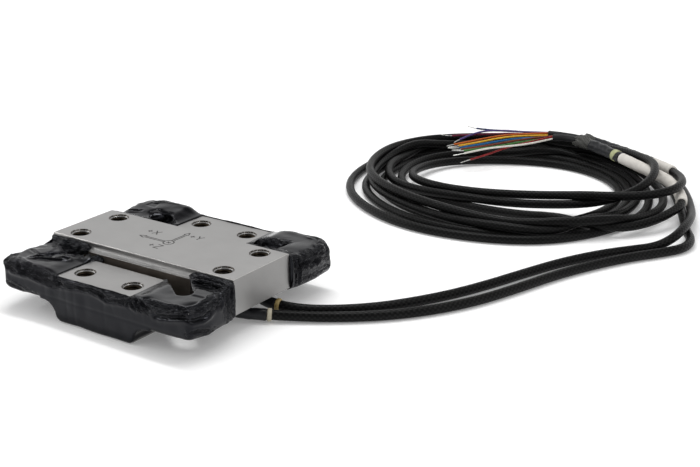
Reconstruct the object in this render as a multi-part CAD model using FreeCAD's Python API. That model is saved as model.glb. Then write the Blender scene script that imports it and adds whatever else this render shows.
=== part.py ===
"""Six-axis load cell: a one-piece flexure body with sealed arms and two long signal cables.

Millimetres, +Z up. The origin is at the middle of the body, on the plane of its feet.
The long mounting bar runs along X, and the two foot tabs lie in front of it (-Y) and behind it (+Y).
"""
import math
import os

import FreeCAD
import Part

V = FreeCAD.Vector

# Flexure body, machined from one block
bar_length = 146.0
bar_width = 53.0
bar_top = 36.0
plate_top = 29.0
plate_bottom = 13.5
ledge_width = 3.8
cove_radius = 3.4
slot_width = 5.2
tab_width = 59.0
tab_depth = 31.0
beam_width = 12.5
leg_width = 14.0
pocket_radius = 6.0
edge_break = 0.5

# Tapped mounting holes
bar_pitch_x = 116.0
bar_pitch_y = 34.5
tab_pitch = 38.1
tab_hole_inset = 13.0
tap_drill = 10.8
countersink = 13.2
tap_depth = 16.0

# Sealing wrap around the arms and the outer faces of the tabs
wrap_side = 2.2
wrap_over = 2.2
wrap_under = 2.1
wrap_bulge = 1.6
wrap_corner = 3.6
wrap_lip = 0.8
shoulder_drop = 4.0
shoulder_inset = 4.6
mouth_reach = 13.0
window_radius = 4.8
window_margin = 6.0
collar_rise = 5.8
collar_reach = 9.0
skirt_clear = 0.4
skirt_corner = 4.5
skirt_flare = 12.5
skirt_return = 16.0

# Foil strain gauges, their solder tabs and the leads laid under the wrap
gauge_length = 8.0
gauge_width = 5.0
gauge_thickness = 0.3
solder_tab_length = 4.0
solder_tab_width = 3.5
solder_tab_thickness = 0.6
solder_tab_gap = 2.0
ribbon_width = 3.2
ribbon_thickness = 1.0
bundle_diameter = 2.4
bundle_straight = 8.0
passage_clearance = 0.5

# Cable entries under the bar
entry_from_end = 25.0
entry_from_edge = 5.5
entry_height = 20.0
boot_diameter = 7.3
boot_clearance = 0.15
cable_diameter = 6.4
ring_diameter = 8.2
ring_length = 2.6
ring_fit = 0.05

# Coil of both cables on the floor behind the body
coil_x = 75.0
coil_y = 316.0
coil_heading = 34.5
coil_outer_a = 131.0
coil_outer_b = 126.0
coil_inner_a = 73.0
coil_inner_b = 54.0
coil_height = 16.0
coil_round = 6.5
shoulder_height = 8.0
shoulder_width = 26.0
shoulder_length = 57.0
shoulder_bow = 6.0
shoulder_lean = 28.0
shoulder_root = 40.0

# Cable ends laid on the coil; the heights of their points are gaps under a label sleeve or a wire
label_diameter = 8.6
shrink_diameter = 8.9
jacket_diameter = 5.4
braid_mouth = 7.6
conductor_diameter = 1.5
conductor_pitch = 1.65
core_diameter = 0.9
core_length = 9.0

# Places that follow from the sizes above
half_length = bar_length / 2
pad_y = bar_width / 2
ledge_y = pad_y + ledge_width
tab_in = ledge_y + slot_width
tab_out = tab_in + tab_depth
tab_x = tab_width / 2
pocket_x = half_length - leg_width
pocket_y = tab_out - beam_width
wrap_low = plate_bottom - wrap_under
wrap_high = plate_top + wrap_over
cable_radius = cable_diameter / 2
boot_radius = boot_diameter / 2
entry_x = half_length - entry_from_end
entry_y = pad_y - entry_from_edge
gauge_x = (tab_x + pocket_x) / 2
beam_y = (tab_out + pocket_y) / 2
arm_mid_z = (plate_top + plate_bottom) / 2

# Route of each cable: the boot's points are measured from the bar's end, the lead's lie on the floor
boot_a_steps = [V(-19.0, -14.0, 9.5), V(-10.0, -6.4, 5.8)]
boot_b_steps = [V(-20.5, 18.0, 11.5), V(-14.5, 16.0, 7.4), V(-7.0, 15.8, 5.6)]
boot_share = 0.5
lead_a_points = [
    V(86.0, 10.2, 3.9), V(108.0, 24.0, 3.4), V(132.0, 44.0, 3.3), V(151.5, 68.5, 3.3),
    V(166.0, 96.0, 3.3), V(176.5, 128.0, 3.3), V(186.0, 162.0, 3.3), V(199.0, 194.0, 3.3),
    V(214.0, 222.0, 3.3), V(226.0, 248.0, 3.3), V(229.0, 272.0, 3.3), V(223.5, 297.0, 3.3),
    V(217.5, 318.0, 3.3),
]
lead_b_points = [
    V(85.0, 21.0, 4.0), V(103.0, 34.0, 3.4), V(120.5, 51.0, 3.3), V(135.0, 72.0, 3.3),
    V(148.0, 96.0, 3.3), V(158.5, 123.0, 3.3), V(168.0, 153.0, 3.3), V(179.5, 186.0, 3.3),
    V(194.0, 215.5, 3.3), V(208.0, 242.0, 3.3), V(216.0, 268.0, 3.3), V(215.0, 293.0, 3.3),
    V(208.5, 318.0, 3.3),
]
tail_a_points = [
    V(209.0, 322.0, -7.8), V(185.2, 355.1, -4.8), V(164.8, 361.1, -1.7), V(108.9, 392.1, 0.2),
    V(75.0, 407.6, 0.0), V(61.2, 404.5, -1.5),
]
tail_b_points = [
    V(177.3, 376.0, -3.3), V(166.4, 385.1, -4.3), V(155.8, 392.7, -4.8), V(100.1, 417.5, -4.8),
    V(72.0, 421.6, -2.9), V(52.9, 411.7, -1.5),
]
tail_a_shares = (0.55, 0.28, 0.80)
tail_b_shares = (0.05, 0.25, 0.70)
conductor_a_routes = {
    "red": [V(53.0, 379.7, 0.9), V(42.0, 360.0, -0.4), V(31.5, 346.0, -4.0), V(23.0, 335.0, -6.4)],
    "white": [V(49.4, 383.1, 0.9), V(38.5, 360.5, 0.1), V(29.5, 346.0, -0.8), V(19.5, 331.5, -2.0)],
    "green": [V(45.2, 387.6, 0.4), V(34.4, 363.1, 0.2), V(25.5, 348.0, 0.1), V(16.5, 335.5, 0.0)],
    "brown": [V(41.8, 390.5, 0.9), V(30.9, 369.5, 0.2), V(22.0, 351.5, 0.2), V(13.0, 337.0, 0.2)],
    "blue": [V(37.9, 394.3, 0.4), V(27.3, 376.0, 0.2), V(18.5, 356.5, 0.2), V(9.5, 340.0, 0.2)],
}
conductor_b_routes = {
    "yellow": [V(33.7, 398.7, 0.4), V(22.9, 384.0, 0.2), V(15.0, 363.0, 0.2), V(6.5, 344.5, 0.2)],
    "orange": [V(30.8, 401.0, 0.9), V(18.9, 388.4, 0.2), V(10.0, 367.0, 0.2), V(1.5, 345.5, 0.2)],
    "maroon": [V(27.2, 403.9, 0.4), V(10.5, 389.8, 0.2), V(-2.1, 378.2, 0.2), V(-13.2, 367.3, 0.2)],
    "violet": [V(24.7, 406.0, 0.9), V(9.0, 394.0, 2.2), V(2.0, 379.0, 2.6), V(-1.0, 359.0, 0.8)],
    "navy": [V(21.5, 409.0, 0.4), V(11.2, 403.5, 0.2), V(1.3, 400.0, 0.2), V(-7.5, 398.5, 0.2)],
}


def mirror_x(shape):
    return shape.mirror(V(0, 0, 0), V(1, 0, 0))


def mirror_y(shape):
    return shape.mirror(V(0, 0, 0), V(0, 1, 0))


def box(x0, x1, y0, y1, z0, z1):
    return Part.makeBox(x1 - x0, y1 - y0, z1 - z0, V(x0, y0, z0))


def prism(wire, direction):
    return Part.Face(wire).extrude(direction)


def rounded_polygon(points, radii, z):
    """Closed plan outline at height z, with an arc of its own radius at each corner."""
    edges = []
    arcs = []
    count = len(points)
    for i in range(count):
        here = points[i]
        to_prev = (points[i - 1] - here).normalize()
        to_next = (points[(i + 1) % count] - here).normalize()
        radius = radii[i]
        if radius <= 0:
            arcs.append((here, None, here))
            continue
        half = to_prev.getAngle(to_next) / 2
        reach = radius / math.tan(half)
        bisector = (to_prev + to_next).normalize()
        middle = here + bisector * (radius / math.sin(half) - radius)
        arcs.append((here + to_prev * reach, middle, here + to_next * reach))
    lift = V(0, 0, z)
    for i in range(count):
        start, middle, end = arcs[i]
        if middle is not None:
            edges.append(Part.Arc(start + lift, middle + lift, end + lift).toShape())
        following = arcs[(i + 1) % count][0]
        edges.append(Part.LineSegment(end + lift, following + lift).toShape())
    return Part.Wire(edges)


def route(points, name=None):
    """Straight runs joined by tangent arcs, each as large as its two runs allow."""
    edges = []
    radii = []
    start = points[0]
    for i in range(1, len(points) - 1):
        before = points[i - 1] - points[i]
        after = points[i + 1] - points[i]
        reach = 0.45 * min(before.Length, after.Length)
        into = V(before).normalize()
        out = V(after).normalize()
        half = into.getAngle(out) / 2
        radius = reach * math.tan(half)
        radii.append(radius)
        middle = points[i] + (into + out).normalize() * (radius / math.sin(half) - radius)
        edges.append(Part.LineSegment(start, points[i] + into * reach).toShape())
        edges.append(Part.Arc(points[i] + into * reach, middle, points[i] + out * reach).toShape())
        start = points[i] + out * reach
    edges.append(Part.LineSegment(start, points[-1]).toShape())
    if name:
        print(name, "bend radii", [round(r, 1) for r in radii])
    return Part.Wire(edges)


def tube(points, radius, name=None):
    """Solid round section along a route."""
    path = route(points, name)
    circle = Part.makeCircle(radius, points[0], points[1] - points[0])
    solid = path.makePipe(Part.Face(Part.Wire(circle)))
    if name:
        expected = math.pi * radius ** 2 * path.Length
        print(name, "length", round(path.Length, 1), "volume ratio", round(solid.Volume / expected, 4))
    return solid


def on_coil(points, diameter):
    """Points of a round piece that lies on the coil's top."""
    return [p + V(0, 0, coil_height + diameter / 2) for p in points]


def along(start, end, share):
    return start + (end - start) * share


def rod(start, end, radius):
    return Part.makeCylinder(radius, (end - start).Length, start, end - start)


def taper(start, end, radius_start, radius_end):
    return Part.makeCone(radius_start, radius_end, (end - start).Length, start, end - start)


def clearance_cut_plan(z):
    """Slot between bar and tab, opening into a pocket inside each arm."""
    r = pocket_radius
    corner = slot_width / 2
    points = [
        V(-pocket_x, -ledge_y, 0), V(-pocket_x, -pocket_y, 0), V(-tab_x, -pocket_y, 0), V(-tab_x, -tab_in, 0),
        V(tab_x, -tab_in, 0), V(tab_x, -pocket_y, 0), V(pocket_x, -pocket_y, 0), V(pocket_x, -ledge_y, 0),
    ]
    return rounded_polygon(points, [corner, r, r, 0, 0, r, r, corner], z)


def tapped_hole(x, y, top, depth, through):
    """Tap-drill bore with a countersunk mouth, and a drill point where it is blind."""
    radius = tap_drill / 2
    mouth = countersink / 2
    sink = mouth - radius
    cut = Part.makeCylinder(radius, depth, V(x, y, top - depth))
    cut = cut.fuse(Part.makeCone(radius, mouth, sink, V(x, y, top - sink)))
    if through:
        return cut.fuse(Part.makeCone(mouth, radius, sink, V(x, y, top - depth)))
    point = radius * math.tan(math.radians(31))
    return cut.fuse(Part.makeCone(0, radius, point, V(x, y, top - depth - point)))


def cove(side):
    """Concave fillet from the pad's long face down to the ledge."""
    r = cove_radius
    corner = V(-half_length, -pad_y, plate_top)
    top = corner + V(0, 0, r)
    foot = corner + V(0, -r, 0)
    middle = corner + V(0, -r, r) + V(0, math.sqrt(0.5) * r, -math.sqrt(0.5) * r)
    wire = Part.Wire([
        Part.LineSegment(corner, top).toShape(),
        Part.Arc(top, middle, foot).toShape(),
        Part.LineSegment(foot, corner).toShape(),
    ])
    solid = prism(wire, V(bar_length, 0, 0))
    return solid if side < 0 else mirror_y(solid)


def boot_points(side):
    start = V(entry_x, side * entry_y, entry_height)
    steps = boot_a_steps if side < 0 else boot_b_steps
    lead = lead_a_points if side < 0 else lead_b_points
    points = [start] + [V(half_length + s.x, s.y, s.z) for s in steps]
    last = points[-1]
    return points + [last + (lead[0] - last) * boot_share]


def bundle_points(side):
    """Lead bundle from the arm, along the leg, through the bar's ledge to the cable entry."""
    inner = pocket_x - bundle_diameter
    return [
        V(inner, side * (pocket_y - bundle_diameter), arm_mid_z),
        V(inner, side * (ledge_y + bundle_straight), arm_mid_z),
        V((inner + entry_x) / 2, side * (ledge_y + 3.4), (arm_mid_z + entry_height) / 2),
        V(entry_x, side * (ledge_y - 2.0), entry_height),
        V(entry_x, side * (entry_y + boot_radius), entry_height),
    ]


def sensor_body():
    plate = box(-half_length, half_length, -tab_out, tab_out, plate_bottom, plate_top)
    gap = prism(clearance_cut_plan(plate_bottom - 1), V(0, 0, plate_top - plate_bottom + 2))
    plate = plate.cut(gap).cut(mirror_y(gap))
    bar = box(-half_length, half_length, -pad_y, pad_y, plate_bottom, bar_top)
    front_tab = box(-tab_x, tab_x, -tab_out, -tab_in, 0, plate_top)
    body = plate.fuse([bar, front_tab, mirror_y(front_tab), cove(-1), cove(1)]).removeSplitter()
    edges = []
    for edge in body.Edges:
        low, high = edge.BoundBox.ZMin, edge.BoundBox.ZMax
        centre = edge.BoundBox.Center
        on_pad = low > bar_top - 1e-4
        on_tab = abs(low - plate_top) < 1e-4 and abs(high - plate_top) < 1e-4
        on_tab = on_tab and abs(centre.x) < tab_x + 1e-4 and abs(centre.y) > tab_in - 1e-4
        on_tab = on_tab and edge.Length > tab_depth / 4
        on_foot = high < 1e-4
        if on_pad or on_tab or on_foot:
            edges.append(edge)
    body = body.makeChamfer(edge_break, edges)
    for sx in (-1, 1):
        for sy in (-1, 1):
            x, y = sx * bar_pitch_x / 2, sy * bar_pitch_y / 2
            body = body.cut(tapped_hole(x, y, bar_top, tap_depth, False))
            x, y = sx * tab_pitch / 2, sy * (tab_out - tab_hole_inset)
            body = body.cut(tapped_hole(x, y, plate_top, plate_top, True))
    for side in (-1, 1):
        body = body.cut(tube(boot_points(side), boot_radius + boot_clearance))
        body = body.cut(tube(bundle_points(side), bundle_diameter / 2 + passage_clearance))
    return body


def wrap_section(z, inset):
    """Plan outline of the wrapped arms at one height, drawn in by inset."""
    lip = half_length + wrap_lip - inset
    side = half_length + wrap_side - inset
    swell = side + wrap_bulge
    front = tab_out + wrap_side - inset
    turn = front - wrap_corner
    diagonal = wrap_corner * math.sqrt(0.5)
    knee = V(side - wrap_corner + diagonal, -(turn + diagonal), z)
    right = [
        Part.Arc(V(lip, -pad_y, z), V(swell, -(pad_y + turn) / 2, z), V(side, -turn, z)).toShape(),
        Part.Arc(V(side, -turn, z), knee, V(side - wrap_corner, -front, z)).toShape(),
    ]
    across = [Part.LineSegment(V(side - wrap_corner, -front, z), V(wrap_corner - side, -front, z)).toShape()]
    knee_left = V(-knee.x, knee.y, z)
    left = [
        Part.Arc(V(wrap_corner - side, -front, z), knee_left, V(-side, -turn, z)).toShape(),
        Part.Arc(V(-side, -turn, z), V(-swell, -(pad_y + turn) / 2, z), V(-lip, -pad_y, z)).toShape(),
    ]
    back = [Part.LineSegment(V(-lip, -pad_y, z), V(lip, -pad_y, z)).toShape()]
    return Part.Wire(right + across + left + back)


def tangent_point(point, centre, radius, sign):
    """Where a line from point touches a circle, on the side given by sign."""
    reach = point - centre
    base = math.atan2(reach.y, reach.x)
    turn = sign * math.acos(radius / reach.Length)
    return centre + V(radius * math.cos(base + turn), radius * math.sin(base + turn), 0)


def wrap_window(z):
    """The bare slot and the slanting window that the wrap leaves open inside each arm."""
    mouth = tab_x + mouth_reach
    centre = V(pocket_x - window_margin, -(pocket_y - window_margin - 1.0), 0)
    near = V(tab_x, -tab_in, 0)
    far = V(mouth, -ledge_y, 0)
    near_touch = tangent_point(near, centre, window_radius, 1)
    far_touch = tangent_point(far, centre, window_radius, -1)
    away = centre - (near + far) * 0.5
    tip = centre + away.normalize() * window_radius
    lift = V(0, 0, z)

    def flip(p):
        return V(-p.x, p.y, p.z)

    edges = [
        Part.LineSegment(V(-mouth, -pad_y, z), V(mouth, -pad_y, z)).toShape(),
        Part.LineSegment(V(mouth, -pad_y, z), far + lift).toShape(),
        Part.LineSegment(far + lift, far_touch + lift).toShape(),
        Part.Arc(far_touch + lift, tip + lift, near_touch + lift).toShape(),
        Part.LineSegment(near_touch + lift, near + lift).toShape(),
        Part.LineSegment(near + lift, flip(near) + lift).toShape(),
        Part.LineSegment(flip(near) + lift, flip(near_touch) + lift).toShape(),
        Part.Arc(flip(near_touch) + lift, flip(tip) + lift, flip(far_touch) + lift).toShape(),
        Part.LineSegment(flip(far_touch) + lift, flip(far) + lift).toShape(),
        Part.LineSegment(flip(far) + lift, V(-mouth, -pad_y, z)).toShape(),
    ]
    return Part.Wire(edges)


def wrap_collar():
    """Wrap bunched up against the pad's long face, over one leg."""
    x0 = tab_x + mouth_reach
    foot = V(x0, -pad_y, plate_top)
    crest = V(x0, -pad_y, plate_top + collar_rise)
    toe = V(x0, -(pad_y + collar_reach), wrap_high)
    middle = V(x0, -(pad_y + 0.58 * collar_reach), plate_top + 0.78 * collar_rise)
    under = V(x0, -(pad_y + collar_reach), plate_top)
    wire = Part.Wire([
        Part.LineSegment(foot, crest).toShape(),
        Part.Arc(crest, middle, toe).toShape(),
        Part.LineSegment(toe, under).toShape(),
        Part.LineSegment(under, foot).toShape(),
    ])
    return prism(wire, V(half_length + wrap_lip - x0, 0, 0))


def wrap_skirt():
    """Wrap drawn down over the lower half of a tab, flaring into the underside of the arms."""
    y = -(tab_out + wrap_side)
    edge = tab_x + wrap_side
    low = skirt_clear
    knee = low + skirt_corner
    high = plate_bottom
    flare = edge + skirt_flare
    diagonal = skirt_corner * math.sqrt(0.5)
    bend = V(edge - skirt_corner + diagonal, y, knee - diagonal)
    sweep = V(edge + 0.27 * skirt_flare, y, knee + 0.70 * (wrap_low - knee))

    def flip(p):
        return V(-p.x, p.y, p.z)

    base = V(edge - skirt_corner, y, low)
    side = V(edge, y, knee)
    tip = V(flare, y, wrap_low)
    top = V(flare, y, high)
    wire = Part.Wire([
        Part.LineSegment(flip(base), base).toShape(),
        Part.Arc(base, bend, side).toShape(),
        Part.Arc(side, sweep, tip).toShape(),
        Part.LineSegment(tip, top).toShape(),
        Part.LineSegment(top, flip(top)).toShape(),
        Part.LineSegment(flip(top), flip(tip)).toShape(),
        Part.Arc(flip(tip), flip(sweep), flip(side)).toShape(),
        Part.Arc(flip(side), flip(bend), flip(base)).toShape(),
    ])
    return prism(wire, V(0, wrap_side + skirt_return, 0))


def front_wrap(body, inner):
    sections = [
        wrap_section(wrap_low, wrap_side + wrap_lip),
        wrap_section(wrap_low + 0.7 * wrap_under, 0.4 * wrap_side),
        wrap_section(plate_bottom + wrap_under, 0.0),
        wrap_section(plate_top - shoulder_drop, 0.0),
        wrap_section(plate_top, 0.6 * wrap_side),
        wrap_section(plate_top + 0.7 * wrap_over, 0.6 * shoulder_inset),
        wrap_section(wrap_high, shoulder_inset),
    ]
    cover = Part.makeLoft(sections, True, True)
    collar = wrap_collar()
    cover = cover.fuse([collar, mirror_x(collar), wrap_skirt()])
    cover = cover.cut(prism(wrap_window(-1), V(0, 0, bar_top + 2)))
    cover = cover.cut(box(-tab_x, tab_x, -tab_out, -pad_y, plate_top, bar_top + 1))
    cover = cover.cut(box(-tab_x, tab_x, -tab_out, -tab_in, -1, plate_top)).cut(body)
    for piece in inner:
        cover = cover.cut(piece)
    return cover


def gauge_set():
    """Foil gauges on the four faces of the front-right beam."""
    a, b, t = gauge_length / 2, gauge_width / 2, gauge_thickness
    x, y, z = gauge_x, beam_y, arm_mid_z
    return Part.makeCompound([
        box(x - a, x + a, -y - b, -y + b, plate_top, plate_top + t),
        box(x - a, x + a, -y - b, -y + b, plate_bottom - t, plate_bottom),
        box(x - a, x + a, -tab_out - t, -tab_out, z - b, z + b),
        box(x - a, x + a, -pocket_y, -pocket_y + t, z - b, z + b),
    ])


def solder_tabs():
    """Solder tabs beside the upper and the outer gauge of the front-right beam."""
    x0 = gauge_x + gauge_length / 2 + solder_tab_gap
    x1 = x0 + solder_tab_length
    b, t = solder_tab_width / 2, solder_tab_thickness
    return Part.makeCompound([
        box(x0, x1, -beam_y - b, -beam_y + b, plate_top, plate_top + t),
        box(x0, x1, -tab_out - t, -tab_out, arm_mid_z - b, arm_mid_z + b),
    ])


def cross_lead():
    """Flat ribbon of leads along a tab's outer face, from one arm to the other."""
    reach = gauge_x - gauge_length / 2 - solder_tab_gap
    half = ribbon_width / 2
    return box(-reach, reach, -tab_out - ribbon_thickness, -tab_out, arm_mid_z - half, arm_mid_z + half)


def oval(a, b, z):
    turn = math.radians(coil_heading)
    along_a = V(math.cos(turn), math.sin(turn), 0) * a
    along_b = V(-math.sin(turn), math.cos(turn), 0) * b
    centre = V(coil_x, coil_y, z)
    if a >= b:
        curve = Part.Ellipse(centre + along_a, centre + along_b, centre)
    else:
        curve = Part.Ellipse(centre + along_b, centre - along_a, centre)
    return Part.Wire(curve.toShape())


def cable_coil():
    """Outer shape of the coil: a low oval ring, with the shoulder where the two leads join it."""
    outer = prism(oval(coil_outer_a, coil_outer_b, 0), V(0, 0, coil_height))
    inner = prism(oval(coil_inner_a, coil_inner_b, -1), V(0, 0, coil_height + 2))
    ring = outer.cut(inner)
    rims = [e for e in ring.Edges if e.BoundBox.ZLength < 1e-3]
    ring = ring.makeFillet(coil_round, rims)
    gate = lead_a_points[-1].y
    wide = lead_a_points[-1].x + cable_diameter
    start = V(wide, gate, 0)
    end = V(wide - shoulder_lean, gate + shoulder_length, 0)
    middle = (start + end) * 0.5 + V(shoulder_bow, 0, 0)
    root = V(wide - shoulder_width - cable_diameter, gate + shoulder_root, 0)
    inside = V(wide - shoulder_width, gate, 0)
    join = Part.Wire([
        Part.LineSegment(inside, start).toShape(),
        Part.Arc(start, middle, end).toShape(),
        Part.LineSegment(end, root).toShape(),
        Part.LineSegment(root, inside).toShape(),
    ])
    return ring.fuse(prism(join, V(0, 0, shoulder_height)))


def cable_lead(mouth, points, coil, name):
    """Tube of a cable from its boot to the coil, ended flush on the coil's face."""
    onward = (points[-1] - points[-2]).normalize()
    solid = tube([mouth] + points[:-1] + [points[-1] + onward * cable_radius], cable_radius, name)
    return solid.cut(coil)


def conductor(start, heading, points, index):
    """Insulated wire from the jacket's end, with its bare tinned core at the far end.

    The wires leave the jacket in two rows, and every second one lies in the upper row.
    """
    across = heading.cross(V(0, 0, 1)).normalize()
    above = across.cross(heading).normalize()
    row = 0.5 if index % 2 else -0.5
    offset = across * (conductor_pitch * (index - 2) / 2) + above * (conductor_pitch * row)
    wire = tube([start + offset] + points, conductor_diameter / 2)
    tip = points[-1]
    onward = (points[-1] - points[-2]).normalize()
    return wire.fuse(rod(tip, tip + onward * core_length, core_diameter / 2))


def save(name, shape):
    solids = shape.Solids
    volume = sum(s.Volume for s in solids)
    print(name, "solids", len(solids), "valid", shape.isValid(), "cm3", round(volume / 1000, 3))
    result = solids[0] if len(solids) == 1 else Part.makeCompound(solids)
    result.exportStep("parts/" + name + ".step")


def main():
    os.makedirs("parts", exist_ok=True)
    pieces = {}
    body = sensor_body()
    pieces["sensor_body"] = body

    gauges = gauge_set()
    tabs = solder_tabs()
    leads = cross_lead()
    bundle = tube(bundle_points(-1), bundle_diameter / 2)
    inner = [gauges, mirror_x(gauges), tabs, mirror_x(tabs), leads, bundle]
    front = front_wrap(body, inner)
    pieces["front_wrap"] = front
    bundle_back = tube(bundle_points(1), bundle_diameter / 2)
    pieces["back_wrap"] = mirror_y(front)
    pieces["gauges_front_right"] = gauges
    pieces["gauges_front_left"] = mirror_x(gauges)
    pieces["gauges_back_right"] = mirror_y(gauges)
    pieces["gauges_back_left"] = mirror_x(mirror_y(gauges))
    pieces["solder_tabs_front_right"] = tabs
    pieces["solder_tabs_front_left"] = mirror_x(tabs)
    pieces["solder_tabs_back_right"] = mirror_y(tabs)
    pieces["solder_tabs_back_left"] = mirror_x(mirror_y(tabs))
    pieces["cross_lead_front"] = leads
    pieces["cross_lead_back"] = mirror_y(leads)
    pieces["lead_bundle_front"] = bundle
    pieces["lead_bundle_back"] = bundle_back

    coil = cable_coil()
    pieces["cable_coil"] = coil
    for letter, side, lead_points in (("a", -1, lead_a_points), ("b", 1, lead_b_points)):
        points = boot_points(side)
        pieces["cable_boot_" + letter] = tube(points, boot_radius, "boot " + letter)
        mouth = points[-1]
        onward = (mouth - points[-2]).normalize()
        ring = rod(mouth, mouth + onward * ring_length, ring_diameter / 2)
        ring = ring.cut(rod(mouth - onward, mouth + onward * (ring_length + 1), cable_radius + ring_fit))
        pieces["boot_ring_" + letter] = ring
        pieces["cable_" + letter + "_lead"] = cable_lead(mouth, lead_points, coil, "lead " + letter)

    for letter, tail_points, shares, routes in (
        ("a", tail_a_points, tail_a_shares, conductor_a_routes),
        ("b", tail_b_points, tail_b_shares, conductor_b_routes),
    ):
        points = on_coil(tail_points, label_diameter)
        label_end = along(points[2], points[3], shares[0])
        shrink_end = along(points[3], points[4], shares[1])
        braid_end = along(points[3], points[4], shares[2])
        label = tube(points[:3] + [label_end], label_diameter / 2, "label " + letter)
        pieces["label_sleeve_" + letter] = label
        pieces["tail_shrink_" + letter] = tube([label_end, points[3], shrink_end], shrink_diameter / 2)
        pieces["braid_end_" + letter] = taper(shrink_end, braid_end, shrink_diameter / 2, braid_mouth / 2)
        jacket = tube([braid_end] + points[4:], jacket_diameter / 2)
        pieces["inner_jacket_" + letter] = jacket
        for name in ("label_sleeve_", "tail_shrink_", "braid_end_", "inner_jacket_"):
            coil = coil.cut(pieces[name + letter])
        heading = (points[5] - points[4]).normalize()
        for index, colour in enumerate(routes):
            wire_points = on_coil(routes[colour], conductor_diameter)
            wire = conductor(points[5], heading, wire_points, index)
            pieces["conductor_" + letter + "_" + colour] = wire.cut(jacket)
    pieces["cable_coil"] = coil

    for name in pieces:
        save(name, pieces[name])
    print("nodes", len(pieces))


main()
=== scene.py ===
import itertools
import math
from functools import partial

import bmesh
import bpy
import numpy as np
from mathutils import Matrix, Vector
from mathutils.bvhtree import BVHTree


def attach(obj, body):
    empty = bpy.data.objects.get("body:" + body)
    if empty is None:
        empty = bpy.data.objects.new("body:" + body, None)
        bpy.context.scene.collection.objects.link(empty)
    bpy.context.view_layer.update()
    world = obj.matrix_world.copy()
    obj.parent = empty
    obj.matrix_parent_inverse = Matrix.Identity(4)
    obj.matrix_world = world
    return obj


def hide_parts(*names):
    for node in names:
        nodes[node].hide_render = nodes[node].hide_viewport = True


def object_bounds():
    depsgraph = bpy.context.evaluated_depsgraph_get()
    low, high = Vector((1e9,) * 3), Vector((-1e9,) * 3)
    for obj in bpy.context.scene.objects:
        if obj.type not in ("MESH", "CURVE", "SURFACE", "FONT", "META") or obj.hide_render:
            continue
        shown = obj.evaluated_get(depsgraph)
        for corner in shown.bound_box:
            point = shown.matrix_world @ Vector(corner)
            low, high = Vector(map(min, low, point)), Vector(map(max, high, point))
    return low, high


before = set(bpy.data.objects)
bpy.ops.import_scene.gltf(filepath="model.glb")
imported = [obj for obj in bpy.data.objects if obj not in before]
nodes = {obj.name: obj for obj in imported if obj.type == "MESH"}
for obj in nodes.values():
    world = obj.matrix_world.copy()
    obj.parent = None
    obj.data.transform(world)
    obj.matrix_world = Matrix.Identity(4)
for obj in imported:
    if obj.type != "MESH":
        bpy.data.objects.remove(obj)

cadBox = [[float(x) for x in corner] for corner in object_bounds()]
scene = bpy.context.scene
mm = 0.001
fullTurn = 2 * np.pi
upward = (0.0, 0.0, 1.0)


def toLinear(hexColour):  # sRGB hex to linear colour with alpha
    channels = np.array([int(hexColour[k:k + 2], 16) for k in (1, 3, 5)]) / 255
    linear = np.where(channels <= 0.04045, channels / 12.92, ((channels + 0.055) / 1.055) ** 2.4)
    return (*linear.tolist(), 1.0)


def addNode(tree, kind, inputs=(), out=0, into=None, stops=None, **settings):
    # one node with its settings; its inputs are values and links, by name or in the node's own order;
    # stops are a ramp's places and hex colours; gives the output that is asked for, and links it into a
    # socket where one is named
    node = tree.nodes.new("ShaderNode" + kind)
    for key, value in settings.items():
        setattr(node, key, value)
    for key, value in inputs.items() if isinstance(inputs, dict) else enumerate(inputs):
        if isinstance(value, bpy.types.NodeSocket):
            tree.links.new(value, node.inputs[key])
        else:
            node.inputs[key].default_value = value
    if stops:
        band = node.color_ramp.elements
        while len(band) < len(stops):
            band.new(0.5)
        for element, (place, hexColour) in zip(band, stops):
            element.position = place
            element.color = toLinear(hexColour)
    if into is not None:
        tree.links.new(node.outputs[out], into)
    return node.outputs[out]


def newMaterial(name, **values):  # a principled material with its constants; its sockets; what adds its nodes
    material = bpy.data.materials.new(name)
    material.use_nodes = True
    sockets = material.node_tree.nodes["Principled BSDF"].inputs
    for key, value in values.items():
        sockets[key.replace("_", " ")].default_value = value
    return material, sockets, partial(addNode, material.node_tree)


def setFinish(piece, material):
    piece.data.materials.clear()
    piece.data.materials.append(material)


# meshes worked out with numpy

def addPiece(name, mesh):
    piece = bpy.data.objects.new(name, mesh)
    scene.collection.objects.link(piece)
    return piece


def gridParts(grid, loop=False, caps=False, run=None):
    # quads between neighbours of a grid of points; loop joins the last column to the first,
    # caps closes both ends with a fan; the UV is (share of the way round, metres along)
    rows, cols = grid.shape[:2]
    i = np.arange(rows - 1)[:, None]
    j = np.arange(cols if loop else cols - 1)[None]
    k = (j + 1) % cols
    quads = np.stack([i * cols + j, (i + 1) * cols + j, (i + 1) * cols + k, i * cols + k], -1)
    lengthways = np.arange(rows, dtype=float) if run is None else run
    width = 1 / (cols if loop else cols - 1)
    across = (j + np.zeros_like(i)) * width
    low, high = lengthways[:-1, None] + 0 * j, lengthways[1:, None] + 0 * j
    corners = [(across, low), (across, high), (across + width, high), (across + width, low)]
    uv = np.stack([np.stack(corner, -1) for corner in corners], 2).reshape(-1, 2)
    points = grid.reshape(-1, 3)
    faces = quads.reshape(-1, 4).tolist()
    if caps:
        count, last = len(points), (rows - 1) * cols
        points = np.vstack([points, grid[0].mean(0), grid[-1].mean(0)])
        ring = np.arange(cols)
        turn = (ring + 1) % cols
        faces += np.stack([ring, turn, np.full(cols, count)], -1).tolist()
        faces += np.stack([last + turn, last + ring, np.full(cols, count + 1)], -1).tolist()
        for end in (lengthways[0], lengthways[-1]):
            uv = np.vstack([uv, np.stack([np.repeat(ring / cols, 3), np.full(3 * cols, end)], -1)])
    return points, faces, uv


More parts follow.
